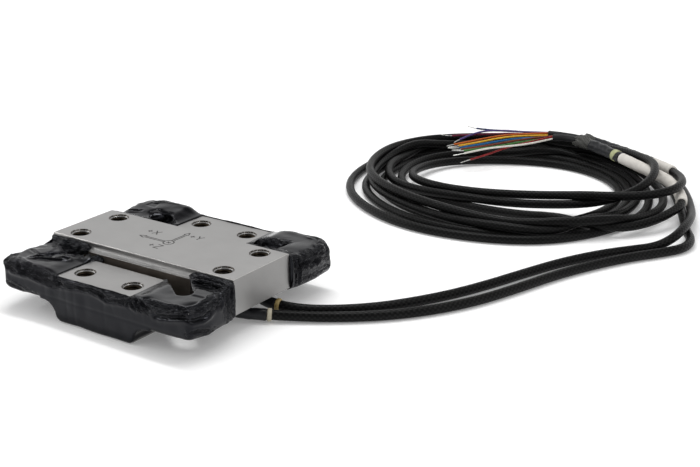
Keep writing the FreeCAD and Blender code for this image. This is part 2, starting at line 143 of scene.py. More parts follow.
def meshOf(name, parts, smooth=True):  # one mesh from several grids
    points, faces, uv = [], [], []
    start = 0
    for somePoints, someFaces, someUv in parts:
        points.append(somePoints)
        faces += [[k + start for k in face] for face in someFaces]
        uv.append(someUv)
        start += len(somePoints)
    mesh = bpy.data.meshes.new(name)
    mesh.from_pydata(np.vstack(points).tolist(), [], faces)
    layer = mesh.uv_layers.new(name="roundAlong")
    layer.data.foreach_set("uv", np.vstack(uv).astype(np.float32).ravel())
    mesh.polygons.foreach_set("use_smooth", np.full(len(mesh.polygons), smooth))
    mesh.update()
    return mesh


def gridMesh(name, grid, **closing):
    return meshOf(name, [gridParts(grid, **closing)])


def lineLength(line):  # length from the start to each point
    return np.concatenate([[0], np.cumsum(np.linalg.norm(np.diff(line, axis=0), axis=1))])


def evenly(line, step):  # the same line at equal steps along its length
    run = lineLength(line)
    at = np.linspace(0, run[-1], max(3, int(round(run[-1] / step)) + 1))
    return np.stack([np.interp(at, run, line[:, k]) for k in range(3)], 1)


def splineLine(name, points):  # the NURBS line of order 3 over given points, read back from Blender
    curve = bpy.data.curves.new(name, "CURVE")
    curve.dimensions = "3D"
    spline = curve.splines.new("NURBS")
    spline.points.add(len(points) - 1)
    spline.points.foreach_set("co", np.hstack([points, np.ones((len(points), 1))]).ravel())
    spline.order_u = 3
    spline.use_endpoint_u = True
    spline.resolution_u = 12
    holder = addPiece(name, curve)
    mesh = bpy.data.meshes.new_from_object(holder)
    line = np.empty(3 * len(mesh.vertices))
    mesh.vertices.foreach_get("co", line)
    bpy.data.objects.remove(holder)
    bpy.data.curves.remove(curve)
    bpy.data.meshes.remove(mesh)
    return line.reshape(-1, 3)


def roundAngles(sides):
    return np.linspace(0, fullTurn, sides, endpoint=False)


def ringFrames(line, level=upward):  # level side and upward normal at each point of a line
    tangent = np.gradient(line, axis=0)
    tangent /= np.linalg.norm(tangent, axis=1, keepdims=True)
    side = np.cross(tangent, level)
    side /= np.linalg.norm(side, axis=1, keepdims=True)
    return side, np.cross(side, tangent)


def ovalAlong(line, halfWidth, halfHeight, sides, level=upward):
    # point(s, t) = line(s) + halfWidth(s, t) * cos t * side(s) + halfHeight(s, t) * sin t * up(s)
    side, up = ringFrames(line, level)
    t = roundAngles(sides)
    across = np.broadcast_to(halfWidth * np.cos(t), (len(line), sides))[..., None]
    above = np.broadcast_to(halfHeight * np.sin(t), (len(line), sides))[..., None]
    return line[:, None] + across * side[:, None] + above * up[:, None]


def tubeMesh(name, line, radius, sides):
    return gridMesh(name, ovalAlong(line, radius, radius, sides), loop=True, caps=True, run=lineLength(line))


def smoothStep(share):  # 0 to 1 with level ends: 3 f^2 - 2 f^3
    return share * share * (3 - 2 * share)


# whole numbers that hash a cell of the noise
noiseSettings = {"axes": np.array([374761393, 668265263, 2147483647]), "seed": 974634777, "mix": 1274126177}


def cellNoise(points, size, seed, s=noiseSettings):
    # smooth value noise: hashed numbers on a lattice of cells, blended by smoothStep; result 0 to 1
    cells = points / size
    cell = np.floor(cells).astype(np.int64)
    share = smoothStep(cells - cell)
    total = np.zeros(len(points))
    for corner in itertools.product((0, 1), repeat=3):
        number = (cell + corner) @ s["axes"] + seed * s["seed"]
        number = (number ^ (number >> 13)) * s["mix"] & 0xFFFFFFFF
        number = (number ^ (number >> 16)) & 0xFFFF
        weight = np.where(corner, share, 1 - share)
        total += weight[:, 0] * weight[:, 1] * weight[:, 2] * number / 0xFFFF
    return total


# camera, floor and light

cameraSettings = {"lens": 72.0, "sensor": 36.0, "azimuth": 34.498, "elevation": 19.758,
                  "place": (553.304, -606.910, 334.107), "clip": (0.01, 50)}


def placeCamera(s):  # the columns of its matrix are right, up and back of the view, and its place
    az, el = math.radians(s["azimuth"]), math.radians(s["elevation"])
    right = np.array([math.cos(az), math.sin(az), 0])
    back = np.array([math.sin(az) * math.cos(el), -math.cos(az) * math.cos(el), math.sin(el)])
    columns = np.column_stack([right, np.cross(back, right), back, np.array(s["place"]) * mm])
    data = bpy.data.cameras.new("photoCamera")
    data.lens = s["lens"]
    data.sensor_width = s["sensor"]
    data.clip_start, data.clip_end = s["clip"]
    camera = addPiece("photoCamera", data)
    camera.matrix_world = Matrix(np.vstack([columns, (0, 0, 0, 1)]).tolist())
    scene.camera = camera


placeCamera(cameraSettings)

lightSettings = {
    "floorColour": "#f4f4f4", "floorHalf": 15.0, "floorLines": 31, "floorGap": 0.0002,
    "floorGlow": 0.16, "farGlow": 0.62, "glowSpan": (0.6, 1.6),  # the lamps don't reach far out
    "worldLight": 0.5, "backdrop": 1.0, "ceiling": 0.16, "ceilingSpan": (0.48, 0.8),
    "room": 0.55, "roomSpan": (-0.35, 0.25), "behind": (-0.566, 0.824, 0.0),
    "lamps": [  # name, watts, length and width in metres, place, aim
        ("topLamp", 4.5, (0.7, 0.7), (-0.2, 0.3, 1.2), (0.05, 0.15, 0.0)),
        ("stripLamp", 3.6, (1.1, 0.07), (0.0, 0.25, 1.0), (0.0, 0.0, 0.0)),
        ("leftStrip", 1.8, (0.8, 0.08), (-0.95, -0.25, 0.6), (0.0, 0.0, 0.0)),
        ("sideLamp", 1.8, (0.7, 0.7), (1.1, 0.1, 0.8), (0.05, 0.1, 0.0)),
        ("frontLamp", 0.8, (0.8, 0.8), (-0.5, -1.0, 0.9), (0.0, 0.0, 0.0))]}


def lookingRays(add):  # 1 for rays that look: camera, mirror and glass rays
    rays = add("LightPath").node.outputs
    first = add("Math", [rays["Is Camera Ray"], rays["Is Glossy Ray"]], operation="MAXIMUM")
    return add("Math", [first, rays["Is Transmission Ray"]], operation="MAXIMUM")


def layFloor(s):
    # level floor under the object's lowest point, square and on a coarse grid
    lines = np.linspace(-s["floorHalf"], s["floorHalf"], s["floorLines"])
    x, y = np.meshgrid(lines, lines)
    floor = addPiece("floor", gridMesh("floor", np.stack([y, x, 0 * x + cadBox[0][2] - s["floorGap"]], -1)))
    material, sockets, add = newMaterial("paintedFloorMatt", Roughness=0.9, Specular_IOR_Level=0.0,
                                         Base_Color=toLinear(s["floorColour"]))
    far = add("VectorMath", [add("TexCoord", out="Object")], out="Value", operation="LENGTH")
    level = add("MapRange", [far, *s["glowSpan"], s["floorGlow"], s["farGlow"]])
    strength = add("Math", [lookingRays(add), level], operation="MULTIPLY")
    glow = add("Emission", {"Color": (1, 1, 1, 1), "Strength": strength})
    made = material.node_tree.nodes
    add("AddShader", [made["Principled BSDF"].outputs[0], glow], into=made["Material Output"].inputs[0])
    setFinish(floor, material)


def lightWorld(s):
    # looking rays see a white backdrop low down behind the object, a dim ceiling and a dim room before it
    world = bpy.data.worlds.new("studio")
    world.use_nodes = True
    scene.world = world
    add = partial(addNode, world.node_tree)
    back = world.node_tree.nodes["Background"].inputs
    back["Color"].default_value = (1, 1, 1, 1)
    way = add("TexCoord", out="Generated")
    height = add("SeparateXYZ", [way], out="Z")
    upper = add("MapRange", [height, *s["ceilingSpan"], s["backdrop"], s["ceiling"]],
                interpolation_type="SMOOTHSTEP")
    behind = add("VectorMath", [way, s["behind"]], out="Value", operation="DOT_PRODUCT")
    room = add("MapRange", [behind, *s["roomSpan"], s["room"], 1.0], interpolation_type="SMOOTHSTEP")
    seen = add("Math", [upper, room], operation="MULTIPLY")
    lift = add("MapRange", [lookingRays(add), 0.0, 1.0, s["worldLight"], seen])
    camera = add("LightPath", out="Is Camera Ray")
    add("MapRange", [camera, 0.0, 1.0, lift, 1.0], into=back["Strength"])


def hangLamps(s):
    for name, watts, size, place, aim in s["lamps"]:
        data = bpy.data.lights.new(name, "AREA")
        data.shape = "RECTANGLE"
        data.energy = watts
        data.size, data.size_y = size
        lamp = addPiece(name, data)
        lamp.location = place
        lamp.rotation_euler = Vector(np.array(place) - np.array(aim)).to_track_quat("Z", "Y").to_euler()


layFloor(lightSettings)
lightWorld(lightSettings)
hangLamps(lightSettings)
scene.view_settings.view_transform = "Standard"
print("stage and camera set")


# the two cables in mm: entry, lead, coil and tail are one spline each

# the coil's middle, heading and spacing, and how the loop that pushes its turns apart works
coilPlan = {
    "centre": (75.0, 316.0), "heading": 34.498, "step": 3.0, "keepEvery": 5,
    "spacing": 6.55, "floorHeight": 3.25, "rounds": 160, "listEvery": 20, "easeEvery": 10,
    "nearReach": 18, "block": 400, "ownSteps": 12, "endSteps": 8, "spreadReach": 2,
    "pushShare": 0.6, "spreadShare": 0.9, "easeShare": 0.5, "leastApart": 0.05,
    "tailSkip": {"a": 4, "b": 5}, "sleeveRadius": 4.45, "jacketRadius": 2.8, "clear": 0.1}

# a coil's stations are angle in degrees, radius and height: the turns from above, from the right side round;
# shares say how far along their runs of the tail the label, the shrink and the loose braid end;
# the reaches are steps of the route in which a tail's and a boot's marks are looked for
cablePlan = {
    "diameter": 6.4, "ringStep": 2.0, "sides": 16, "routeStep": 1.0, "tailReach": 330, "bootReach": 120,
    "a": {
        "replaces": ["cable_a_lead", "cable_coil"], "ringFinish": "ring_plastic",
        "entry": [(48, -21, 20), (54, -14, 9.5), (63, -6.4, 5.8)],
        "lead": [(86, 10.2, 3.9), (108, 24, 3.4), (132, 44, 3.3), (151.5, 68.5, 3.3), (166, 96, 3.3),
                 (176.5, 128, 3.3), (186, 162, 3.3), (199, 194, 3.3), (212.5, 220, 3.3), (227, 240.5, 3.3),
                 (236, 257, 3.3), (233.5, 275, 3.3), (222.5, 291.5, 3.3), (209.5, 319, 3.3)],
        "coil": [(-19, 123, 3.3), (0, 119.5, 3.2), (45, 116, 3.2), (90, 113, 3.6), (135, 110, 6.5),
                 (180, 100, 7.5), (225, 67, 8), (270, 62.5, 8.5), (310, 90.8, 14), (316, 102.2, 17),
                 (326, 104.8, 20), (336, 106.3, 22.5), (342, 108.7, 24.8), (350, 105.9, 24.8), (366, 101, 22),
                 (378, 97.6, 20.5), (389, 95.3, 18.6), (399, 95, 17), (405, 95.5, 16), (450, 112, 11),
                 (495, 117, 13.3), (540, 115.5, 14.6), (585, 106, 13.5), (630, 114.5, 9.4), (652, 122.8, 8.8),
                 (675, 125, 8.6), (720, 106, 6.6), (765, 106, 6.6), (810, 100, 7), (855, 110, 8.5),
                 (900, 114.5, 8.9), (945, 107, 8.8), (990, 121.5, 8.8), (1035, 101, 5), (1080, 93, 3.4),
                 (1125, 93, 4), (1170, 80, 5), (1215, 92, 7), (1260, 92.5, 5), (1305, 67, 4), (1346, 75, 4.5),
                 (1365, 104, 5), (1372, 121, 6), (1391, 134, 8.5)],
        "tail": [(209, 322, 12.5), (185.2, 355.1, 15.5), (164.8, 361.1, 18.6), (108.9, 392.1, 20.5),
                 (75, 407.6, 20.3), (61.2, 404.5, 18.8)],
        "shares": (0.55, 0.28, 0.80)},
    "b": {
        "replaces": ["cable_b_lead"], "ringFinish": "ring_aged",
        "entry": [(48, 21, 20), (52.5, 18, 11.5), (58.5, 16, 7.4), (66, 15.8, 5.6)],
        "lead": [(85, 21, 4), (103, 34, 3.4), (120.5, 51, 3.3), (135, 72, 3.3), (148, 96, 3.3),
                 (158.5, 123, 3.3), (168, 153, 3.3), (179.5, 186, 3.3), (194, 214, 3.3), (208, 233.5, 3.3),
                 (219, 245.5, 3.9), (226, 257, 7.6), (227.5, 272, 10.4), (224, 293, 10.4), (215, 321, 5.6),
                 (204.9, 343.8, 3.5)],
        "coil": [(0, 128, 3.2), (45, 124, 3.2), (90, 121.5, 3.2), (135, 124.5, 3.2), (180, 131, 3.2),
                 (225, 129, 3.2), (270, 125.5, 3.2), (315, 113, 3.2), (360, 99.5, 3.2), (405, 103, 3.2),
                 (450, 105, 3.2), (495, 111, 3.2), (540, 119, 3.2), (585, 117, 3.2), (630, 117, 3.2),
                 (675, 95, 3.2), (720, 86.5, 3.2), (765, 86, 3.2), (810, 88, 3.2), (855, 102, 3.2),
                 (900, 107, 3.2), (945, 102.5, 3.2), (990, 98, 3.4), (1035, 86, 3.3), (1080, 80, 3.2),
                 (1125, 73, 3.2), (1170, 68, 3.2), (1215, 80, 5), (1260, 85, 10.5), (1305, 62.5, 12),
                 (1350, 52, 12.5), (1380, 76, 15.5), (1391, 99.4, 17.5), (1396, 110.6, 18.5),
                 (1400, 121.7, 20), (1404, 128.3, 21.3), (1409, 130.9, 21.8), (1417, 129.4, 21),
                 (1425, 125.5, 19.5), (1431, 121.3, 18)],
        "tail": [(177.3, 376, 17), (166.4, 385.1, 16), (155.8, 392.7, 15.5), (100.1, 417.5, 15.5),
                 (72, 421.6, 17.4), (52.9, 411.7, 18.8)],
        "shares": (0.05, 0.25, 0.70)}}

# heights of the wires' points are over the height at which they rest on the coil
wirePlan = {
    "diameter": 1.5, "pitch": 1.65, "ringStep": 1.0, "sides": 10, "restHeight": 16.75,
    "coreDiameter": 0.75, "coreLength": 9.0, "coreInside": 0.5, "coreRows": 40, "coreSides": 18,
    "coreTwist": 14,
    "coreBend": [(1.9, -0.5), (-2.3, 0.6), (2.2, 0.9), (-1.5, 0.4), (2.8, 0.2)],  # aside and up at the tip
    "a": {"white": [(53, 379.7, 0.9), (40.5, 359.5, 1.6), (29.5, 346, 1.1), (19.5, 331.5, -0.8)],
          "red": [(49.4, 383.1, 0.9), (40, 362.5, -0.2), (31.8, 345.5, -3.6), (23.2, 334.5, -6.2)],
          "green": [(45.2, 387.6, 0.4), (34.4, 363.1, 0.2), (25.5, 348, 0.1), (16.5, 335.5, 0)],
          "brown": [(41.8, 390.5, 0.9), (30.9, 369.5, 0.2), (22, 351.5, 0.2), (13, 337, 0.2)],
          "blue": [(37.9, 394.3, 0.4), (27.3, 376, 0.2), (18.5, 356.5, 0.2), (9.5, 340, 0.2)]},
    "b": {"yellow": [(33.7, 398.7, 0.4), (22.9, 384, 0.2), (15, 363, 0.2), (6.5, 344.5, 0.2)],
          "orange": [(30.8, 401, 0.9), (18.9, 388.4, 0.2), (10, 367, 0.2), (1.5, 345.5, 0.2)],
          "maroon": [(27.2, 403.9, 0.4), (10.5, 389.8, 0.2), (-2.1, 378.2, 0.2), (-13.2, 367.3, 0.2)],
          "violet": [(24.7, 406, 0.9), (9, 394, 2.2), (2, 379, 2.6), (-1, 359, 0.8)],
          "navy": [(21.5, 409, 0.4), (11.2, 403.5, 0.2), (1.3, 400, 0.2), (-7.5, 398.5, 0.2)]}}


def polarToWorld(stations, coil):  # angle, radius and height in the coil's own heading, to x, y and z
    angle, radius, height = np.array(stations, float).T
    angle = np.radians(angle + coil["heading"])
    x, y = coil["centre"]
    return np.stack([x + radius * np.cos(angle), y + radius * np.sin(angle), height], 1)


def smoothThrough(points, step):
    # cubic through each point: Hermite pieces on chord length, slope from the two neighbours
    t = lineLength(points)
    slope = np.gradient(points, t, axis=0)
    at = np.linspace(0, t[-1], int(t[-1] / step) + 1)
    k = np.clip(np.searchsorted(t, at, side="right") - 1, 0, len(t) - 2)
    h = (t[k + 1] - t[k])[:, None]
    s = ((at - t[k])[:, None]) / h
    return ((2 * s**3 - 3 * s**2 + 1) * points[k] + (s**3 - 2 * s**2 + s) * h * slope[k]
            + (3 * s**2 - 2 * s**3) * points[k + 1] + (s**3 - s**2) * h * slope[k + 1])


def blur(values, reach):  # running mean along a cord, three times, with its ends held
    out = values
    for _ in range(3):
        padded = np.concatenate([np.repeat(out[:1], reach, 0), out, np.repeat(out[-1:], reach, 0)])
        total = np.cumsum(np.concatenate([np.zeros((1, out.shape[1])), padded]), 0)
        out = (total[2 * reach + 1:] - total[:-2 * reach - 1]) / (2 * reach + 1)
    return out


def nearPairs(points, fixedPoints, owner, place, coil):
    # pairs of points near enough to meet soon, a block at a time; close neighbours on one cord are left out
    everything = np.vstack([points, fixedPoints])
    near = []
    for first in range(0, len(points), coil["block"]):
        block = points[first:first + coil["block"]]
        squared = ((block[:, None] - everything[None]) ** 2).sum(-1)
        i, j = np.nonzero(squared < coil["nearReach"] ** 2)
        i = i + first
        near.append(np.stack([i, j], 1)[j > i])
    pair = np.vstack(near)
    fixed = pair[:, 1] >= len(points)
    other = np.minimum(pair[:, 1], len(points) - 1)
    steps = np.abs(place[pair[:, 0]] - place[other])
    same = ~fixed & (owner[pair[:, 0]] == owner[other]) & (steps < coil["ownSteps"])
    return pair[~same], fixed[~same]


def settleTurns(lines, fixedPoints, fixedGaps, coil):
    # pushes turns that lie in each other apart, by half the overlap each, and spreads the push along the cord
    counts = [len(line) for line in lines]
    edges = np.cumsum([0] + counts)
    cords = [slice(a, b) for a, b in zip(edges[:-1], edges[1:])]
    owner = np.repeat(np.arange(len(lines)), counts)
    place = np.concatenate([np.arange(count) for count in counts])
    fromEnd = np.concatenate([np.minimum(np.arange(count), np.arange(count)[::-1]) for count in counts])
    hold = np.clip(fromEnd / coil["endSteps"], 0, 1)[:, None]
    start = np.vstack(lines)
    points = start.copy()
    gaps = np.concatenate([np.full(len(points), coil["spacing"]), fixedGaps])

    def spreadOut(values):
        return np.vstack([blur(values[cord], coil["spreadReach"]) for cord in cords])

    for turn in range(coil["rounds"]):
        if turn % coil["listEvery"] == 0:
            pair, fixed = nearPairs(points, fixedPoints, owner, place, coil)
        everything = np.vstack([points, fixedPoints])
        apart = everything[pair[:, 0]] - everything[pair[:, 1]]
        distance = np.linalg.norm(apart, axis=1)
        over = np.clip(gaps[pair[:, 1]] - distance, 0, None)
        hit = over > 0
        push = apart[hit] / np.maximum(distance[hit], coil["leastApart"])[:, None] * over[hit][:, None]
        first, second = pair[hit].T
        isFixed = fixed[hit]
        move = np.zeros_like(points)
        count = np.zeros(len(points))
        np.add.at(move, first, push * np.where(isFixed, 1.0, 0.5)[:, None])
        np.add.at(count, first, 1)
        np.add.at(move, second[~isFixed], -0.5 * push[~isFixed])
        np.add.at(count, second[~isFixed], 1)
        move = move / np.maximum(count, 1)[:, None]
        points = points + hold * (coil["pushShare"] * move + coil["spreadShare"] * spreadOut(move))
        points[:, 2] = np.maximum(points[:, 2], coil["floorHeight"])
        if turn % coil["easeEvery"] == coil["easeEvery"] - 1:
            points = points + hold * coil["easeShare"] * (spreadOut(points) - points)
    moved = np.linalg.norm(points - start, axis=1).max()
    print("turns settled, deepest overlap left %.2f mm, most moved %.1f mm" % (over.max(), moved))
    return [points[cord] for cord in cords]


def partWay(a, b, share):
    return np.array(a) + (np.array(b) - np.array(a)) * share


def nearestIndex(line, point):
    return int(np.argmin(np.linalg.norm(line - np.array(point, float), axis=1)))


def tailMarks(line, own):  # where the label, the shrink and the loose braid end along the line
    tail = own["tail"]
    runs = ((tail[2], tail[3]), (tail[3], tail[4]), (tail[3], tail[4]))
    return [nearestIndex(line, partWay(*run, share)) for run, share in zip(runs, own["shares"])]


def fixedLines(plan, coil, wires):
    # what the turns keep clear of, the tails' sleeves and the wires: points, and how near a turn may come
    points, gaps = [], []
    cable = plan["diameter"] / 2
    for letter in "ab":
        tail = np.array(plan[letter]["tail"], float)
        line = evenly(splineLine("tail", tail), coil["step"])
        shrinkEnd = tailMarks(line, plan[letter])[1]
        radius = np.where(np.arange(len(line)) <= shrinkEnd, coil["sleeveRadius"], coil["jacketRadius"])
        skip = coil["tailSkip"][letter]
        points.append(line[skip:])
        gaps.append(radius[skip:] + cable + coil["clear"])
        for route in wires[letter].values():
            path = np.vstack([tail[-1:], np.array(route, float) + (0, 0, wires["restHeight"])])
            fine = evenly(splineLine("wire", path), coil["step"])
            points.append(fine)
            gaps.append(np.full(len(fine), cable + wires["diameter"] / 2 + coil["clear"]))
    return np.vstack(points), np.concatenate(gaps)


def routeCables(plan, coil, wires):
    loops = []
    for letter in "ab":
        own = plan[letter]
        stations = np.vstack([own["lead"][-1:], polarToWorld(own["coil"], coil), own["tail"][:1]])
        loops.append(smoothThrough(stations, coil["step"]))
    keep = coil["keepEvery"]
    routes = {}
    for letter, loop in zip("ab", settleTurns(loops, *fixedLines(plan, coil, wires), coil)):
        own = plan[letter]
        points = np.vstack([own["entry"], own["lead"], loop[keep:-keep + 1:keep], own["tail"]])
        routes[letter] = evenly(splineLine("cable_" + letter, points), plan["routeStep"])
    return routes


routes = routeCables(cablePlan, coilPlan, wirePlan)


# finishes

noiseSpan = (0.3, 0.7)  # most of a noise's values lie between these


def objectPattern(add, scale):  # Object coordinates, stretched: scale is in cycles per metre for x, y and z
    return add("Mapping", {"Vector": add("TexCoord", out="Object"), "Scale": scale})


def tones(*hexColours):  # stops of a ramp that takes a noise from one colour to the other
    return list(zip(noiseSpan, hexColours))


# places on the body in metres, and the most that the normal of an upright wall rises
steelPlan = {"slotWall": 0.0302, "feetTop": 0.0137, "armTop": 0.0312, "steepest": 0.5,
             "barSide": 0.02605, "barEnd": 0.0726, "barTop": 0.0357}


def machinedStainless(s):
    # stainless steel, face-milled and stoned: light warm grey, soft wide reflections, a fine lay along x;
    # lay lines are about 0.5 mm apart and handling marks about 16 mm wide
    material, sockets, add = newMaterial("machinedStainless", Metallic=1.0, Roughness=0.42)
    lay = add("TexNoise", {"Vector": objectPattern(add, (120, 1800, 1800)), "Scale": 1.0, "Detail": 3.0})
    cloud = add("TexNoise", {"Vector": objectPattern(add, (60, 60, 60)), "Scale": 1.0, "Detail": 3.0})
    blend = add("Math", [lay, cloud], operation="ADD")
    half = add("Math", [blend, 0.5], operation="MULTIPLY")
    spot = add("TexCoord").node.outputs
    place = add("SeparateXYZ", [spot["Object"]]).node.outputs
    steep = add("Math", [add("SeparateXYZ", [spot["Normal"]], out="Z")], operation="ABSOLUTE")
    aside = add("Math", [place["Y"]], operation="ABSOLUTE")
    endwise = add("Math", [place["X"]], operation="ABSOLUTE")
    # the walls of the slots and pockets are wire-cut: darker, browner and matt;
    # they lie between the bar's edges and the arms, above the feet
    walls = ((aside, "GREATER_THAN", "slotWall"), (place["Z"], "GREATER_THAN", "feetTop"),
             (place["Z"], "LESS_THAN", "armTop"), (steep, "LESS_THAN", "steepest"))
    cut = 1.0
    for value, kind, limit in walls:
        passed = add("Math", [value, s[limit]], operation=kind)
        cut = add("Math", [cut, passed], operation="MULTIPLY")
    # the bar's top edges are broken; a band about 0.5 mm wide along them is painted lighter, a painted
    # highlight for the line of light they catch
    beside = add("Math", [aside, s["barSide"]], operation="GREATER_THAN")
    beyond = add("Math", [endwise, s["barEnd"]], operation="GREATER_THAN")
    above = add("Math", [place["Z"], s["barTop"]], operation="GREATER_THAN")
    border = add("Math", [beside, beyond], operation="MAXIMUM")
    paintedEdgeHighlight = add("Math", [border, above], operation="MULTIPLY")
    milled = add("ValToRGB", [half], stops=tones("#959493", "#a4a3a2"))
    # light tones of the painted edge highlight on the bar's top edges
    bright = add("ValToRGB", [half], stops=tones("#c6c4c1", "#dbd9d6"))
    wireCut = add("ValToRGB", [half], stops=tones("#665f58", "#79716a"))
    both = add("Mix", {"Factor": cut, "A": milled, "B": wireCut}, out="Result", data_type="RGBA")
    add("Mix", {"Factor": paintedEdgeHighlight, "A": both, "B": bright}, out="Result", into=sockets["Base Color"],
        data_type="RGBA")
    rough = add("MapRange", [half, *noiseSpan, 0.34, 0.5])
    add("Math", [cut, 0.15, rough], into=sockets["Roughness"], operation="MULTIPLY_ADD")
    add("Bump", {"Height": lay, "Distance": 0.00004, "Strength": 0.5}, into=sockets["Normal"])
    return material


def sealingWrap():
    # black rubber sealing tape, warmed and pressed on: near black with a glossy skin, sharply creased where
    # it is bunched up; dents are about 6 mm wide, creases 3 mm and the skin's grain 0.9 mm
    material, sockets, add = newMaterial("pressedRubberTape", Roughness=0.25, IOR=1.5,
                                         Specular_IOR_Level=0.22, Specular_Tint=toLinear("#eef1ff"))
    bunched = add("Attribute", out="Fac", attribute_name="bunched")
    dent = add("TexNoise", {"Vector": objectPattern(add, (150, 150, 150)), "Scale": 1.0, "Detail": 4.0})
    crease = add("TexNoise", {"Vector": objectPattern(add, (330, 330, 420)), "Scale": 1.0, "Detail": 3.0,
                              "Distortion": 0.9})
    grain = add("TexNoise", {"Vector": objectPattern(add, (1100, 1100, 1100)), "Scale": 1.0, "Detail": 2.0})
    add("ValToRGB", [dent], stops=tones("#030304", "#09090b"), into=sockets["Base Color"])
    add("MapRange", [dent, *noiseSpan, 0.08, 0.2], into=sockets["Roughness"])
    # sharp valley lines where the crease noise crosses its middle
    middle = add("Math", [crease, 0.5], operation="SUBTRACT")
    valley = add("Math", [middle], operation="ABSOLUTE")
    cut = add("MapRange", [valley, 0.0, 0.12, -1.0, 0.0], interpolation_type="SMOOTHSTEP")
    deep = add("Math", [cut, bunched], operation="MULTIPLY")
    skin = add("Math", [grain, 0.015, deep], operation="MULTIPLY_ADD")
    both = add("Math", [dent, 0.14, skin], operation="MULTIPLY_ADD")
    add("Bump", {"Height": both, "Distance": 0.0011, "Strength": 0.8}, into=sockets["Normal"])
    return material


def braidedSleeve(name, colours, specular, depth, pairs, repeat):
    # monofilament braid over a cable: crossing bundles in small satin diamonds; the base colour is painted
    # lighter on each crossing's crest, a painted highlight as a dot of light, and darker between them,
    # painted shade;
    # pairs of bundles round the cable and metres per pair along it are coarser than the real 0.3 mm, to show
    material, sockets, add = newMaterial(name, Roughness=0.5, IOR=1.5, Specular_IOR_Level=specular)
    axes = add("SeparateXYZ", [add("UVMap", uv_map="roundAlong")]).node.outputs
    waves = []
    for axis, turns in (("X", pairs), ("Y", 1 / repeat)):
        angle = add("Math", [axes[axis], fullTurn * turns], operation="MULTIPLY")
        waves.append(add("Math", [angle], operation="SINE"))
    top = add("Math", [waves[0], waves[1]], operation="MULTIPLY")
    share = add("MapRange", [top, -1.0, 1.0, 0.0, 1.0])
    # handling marks about 14 mm wide
    wear = add("TexNoise", {"Vector": objectPattern(add, (70, 70, 70)), "Scale": 1.0, "Detail": 3.0})
    mixed = add("Math", [wear, 0.5, share], operation="MULTIPLY_ADD")
    # base colour: painted highlight on the crests of the crossings and painted shade in the gaps, over the
    # handling marks
    add("ValToRGB", [mixed], stops=list(zip((0.3, 0.75, 0.96), colours)), into=sockets["Base Color"])
    add("MapRange", [mixed, 0.0, 1.0, 0.6, 0.34], into=sockets["Roughness"])
    add("Bump", {"Height": share, "Distance": depth, "Strength": 0.5}, into=sockets["Normal"])
    return material


def plainSkin(name, low, high, roughness, grainSize, depth, **values):
    # a moulded or extruded skin: two close tones in soft clouds, a fine grain in the surface
    material, sockets, add = newMaterial(name, Roughness=roughness, **values)
    pattern = objectPattern(add, (1 / grainSize,) * 3)
    cloud = add("TexNoise", {"Vector": pattern, "Scale": 1.0, "Detail": 4.0})
    add("ValToRGB", [cloud], stops=tones(low, high), into=sockets["Base Color"])
    ends = roughness * 0.85, min(1.0, roughness * 1.15)
    add("MapRange", [cloud, *noiseSpan, *ends], into=sockets["Roughness"])
    add("Bump", {"Height": cloud, "Distance": depth, "Strength": 0.6}, into=sockets["Normal"])
    return material


finishes = {
    "steel": machinedStainless(steelPlan),
    "sealing_wrap": sealingWrap(),
    "cable_braid": braidedSleeve("braidedPolyester", ("#020202", "#060606", "#191919"),
                                 0.12, 0.00022, 7, 0.0034),
    # the same braid opened out: filaments painted pale, a painted sheen, over gaps painted dark, painted
    # shade
    "loose_braid": braidedSleeve("frayedPolyesterBraid", ("#090909", "#262625", "#62625e"),
                                 0.25, 0.0004, 14, 0.0019),
    # satin, softly ribbed over what it holds
    "heat_shrink": plainSkin("shrunkPolyolefin", "#07080b", "#0e1016", 0.38, 0.004, 0.0002,
                             IOR=1.5, Specular_IOR_Level=0.3),
    # off-white, slightly yellowed, and the same yellowed by glue
    "ring_plastic": plainSkin("mouldedNylon", "#a8a08b", "#bdb6a3", 0.45, 0.003, 0.0001, IOR=1.53),
    "ring_aged": plainSkin("mouldedNylonAged", "#8f7a45", "#b7a068", 0.45, 0.003, 0.0001, IOR=1.53),
    # white film, faint dust
    "label_film": plainSkin("vinylLabelFilm", "#c6c2bb", "#d8d4cd", 0.5, 0.006, 0.0001, IOR=1.5),
    # black and satin
    "jacket": plainSkin("extrudedPolyurethane", "#0a0b0d", "#141518", 0.45, 0.003, 0.0001,
                        IOR=1.5, Specular_IOR_Level=0.25),
    # amber film over foil, bright solder, brown ribbon
    "gauge_foil": plainSkin("etchedFoilOnPolyimide", "#8a5a22", "#b0762f", 0.35, 0.001, 0.00002),
    "copper": plainSkin("tinnedCopperPads", "#b87a52", "#cfa07c", 0.3, 0.002, 0.00003, Metallic=1.0),
    "lead_ribbon": plainSkin("polyimideRibbon", "#6b4a1d", "#8f6628", 0.4, 0.004, 0.00003),
    # cut threads with a brown film of oil
    "tapped_steel": plainSkin("tappedSteelOiled", "#211c16", "#3b342a", 0.4, 0.002, 0.00003, Metallic=1.0),
    # dark grey lines
    "engraving": plainSkin("filledEngraving", "#1d1b1a", "#2e2c2a", 0.6, 0.002, 0.00002, IOR=1.5),
    # pale yellow-green
    "marker": plainSkin("softVinylMarker", "#8f9365", "#b3b68c", 0.4, 0.003, 0.00004, IOR=1.5),
    # bright soft-solder coat on strands
    "tinned": plainSkin("tinnedStrand", "#b9b9b6", "#dcdcd8", 0.3, 0.0015, 0.00004, Metallic=1.0),
}
wireColours = {
    "red": ("#701114", "#8c1a1c"), "white": ("#cfccc4", "#e4e1d9"), "green": ("#335f2a", "#4a7d3e"),
    "brown": ("#5c2817", "#763823"), "blue": ("#114c7a", "#1a659a"), "yellow": ("#cc9522", "#e6b436"),
    "orange": ("#a84d14", "#c4661f"), "maroon": ("#57152a", "#702038"), "violet": ("#413368", "#574882"),
    "navy": ("#21294c", "#2f3862")}
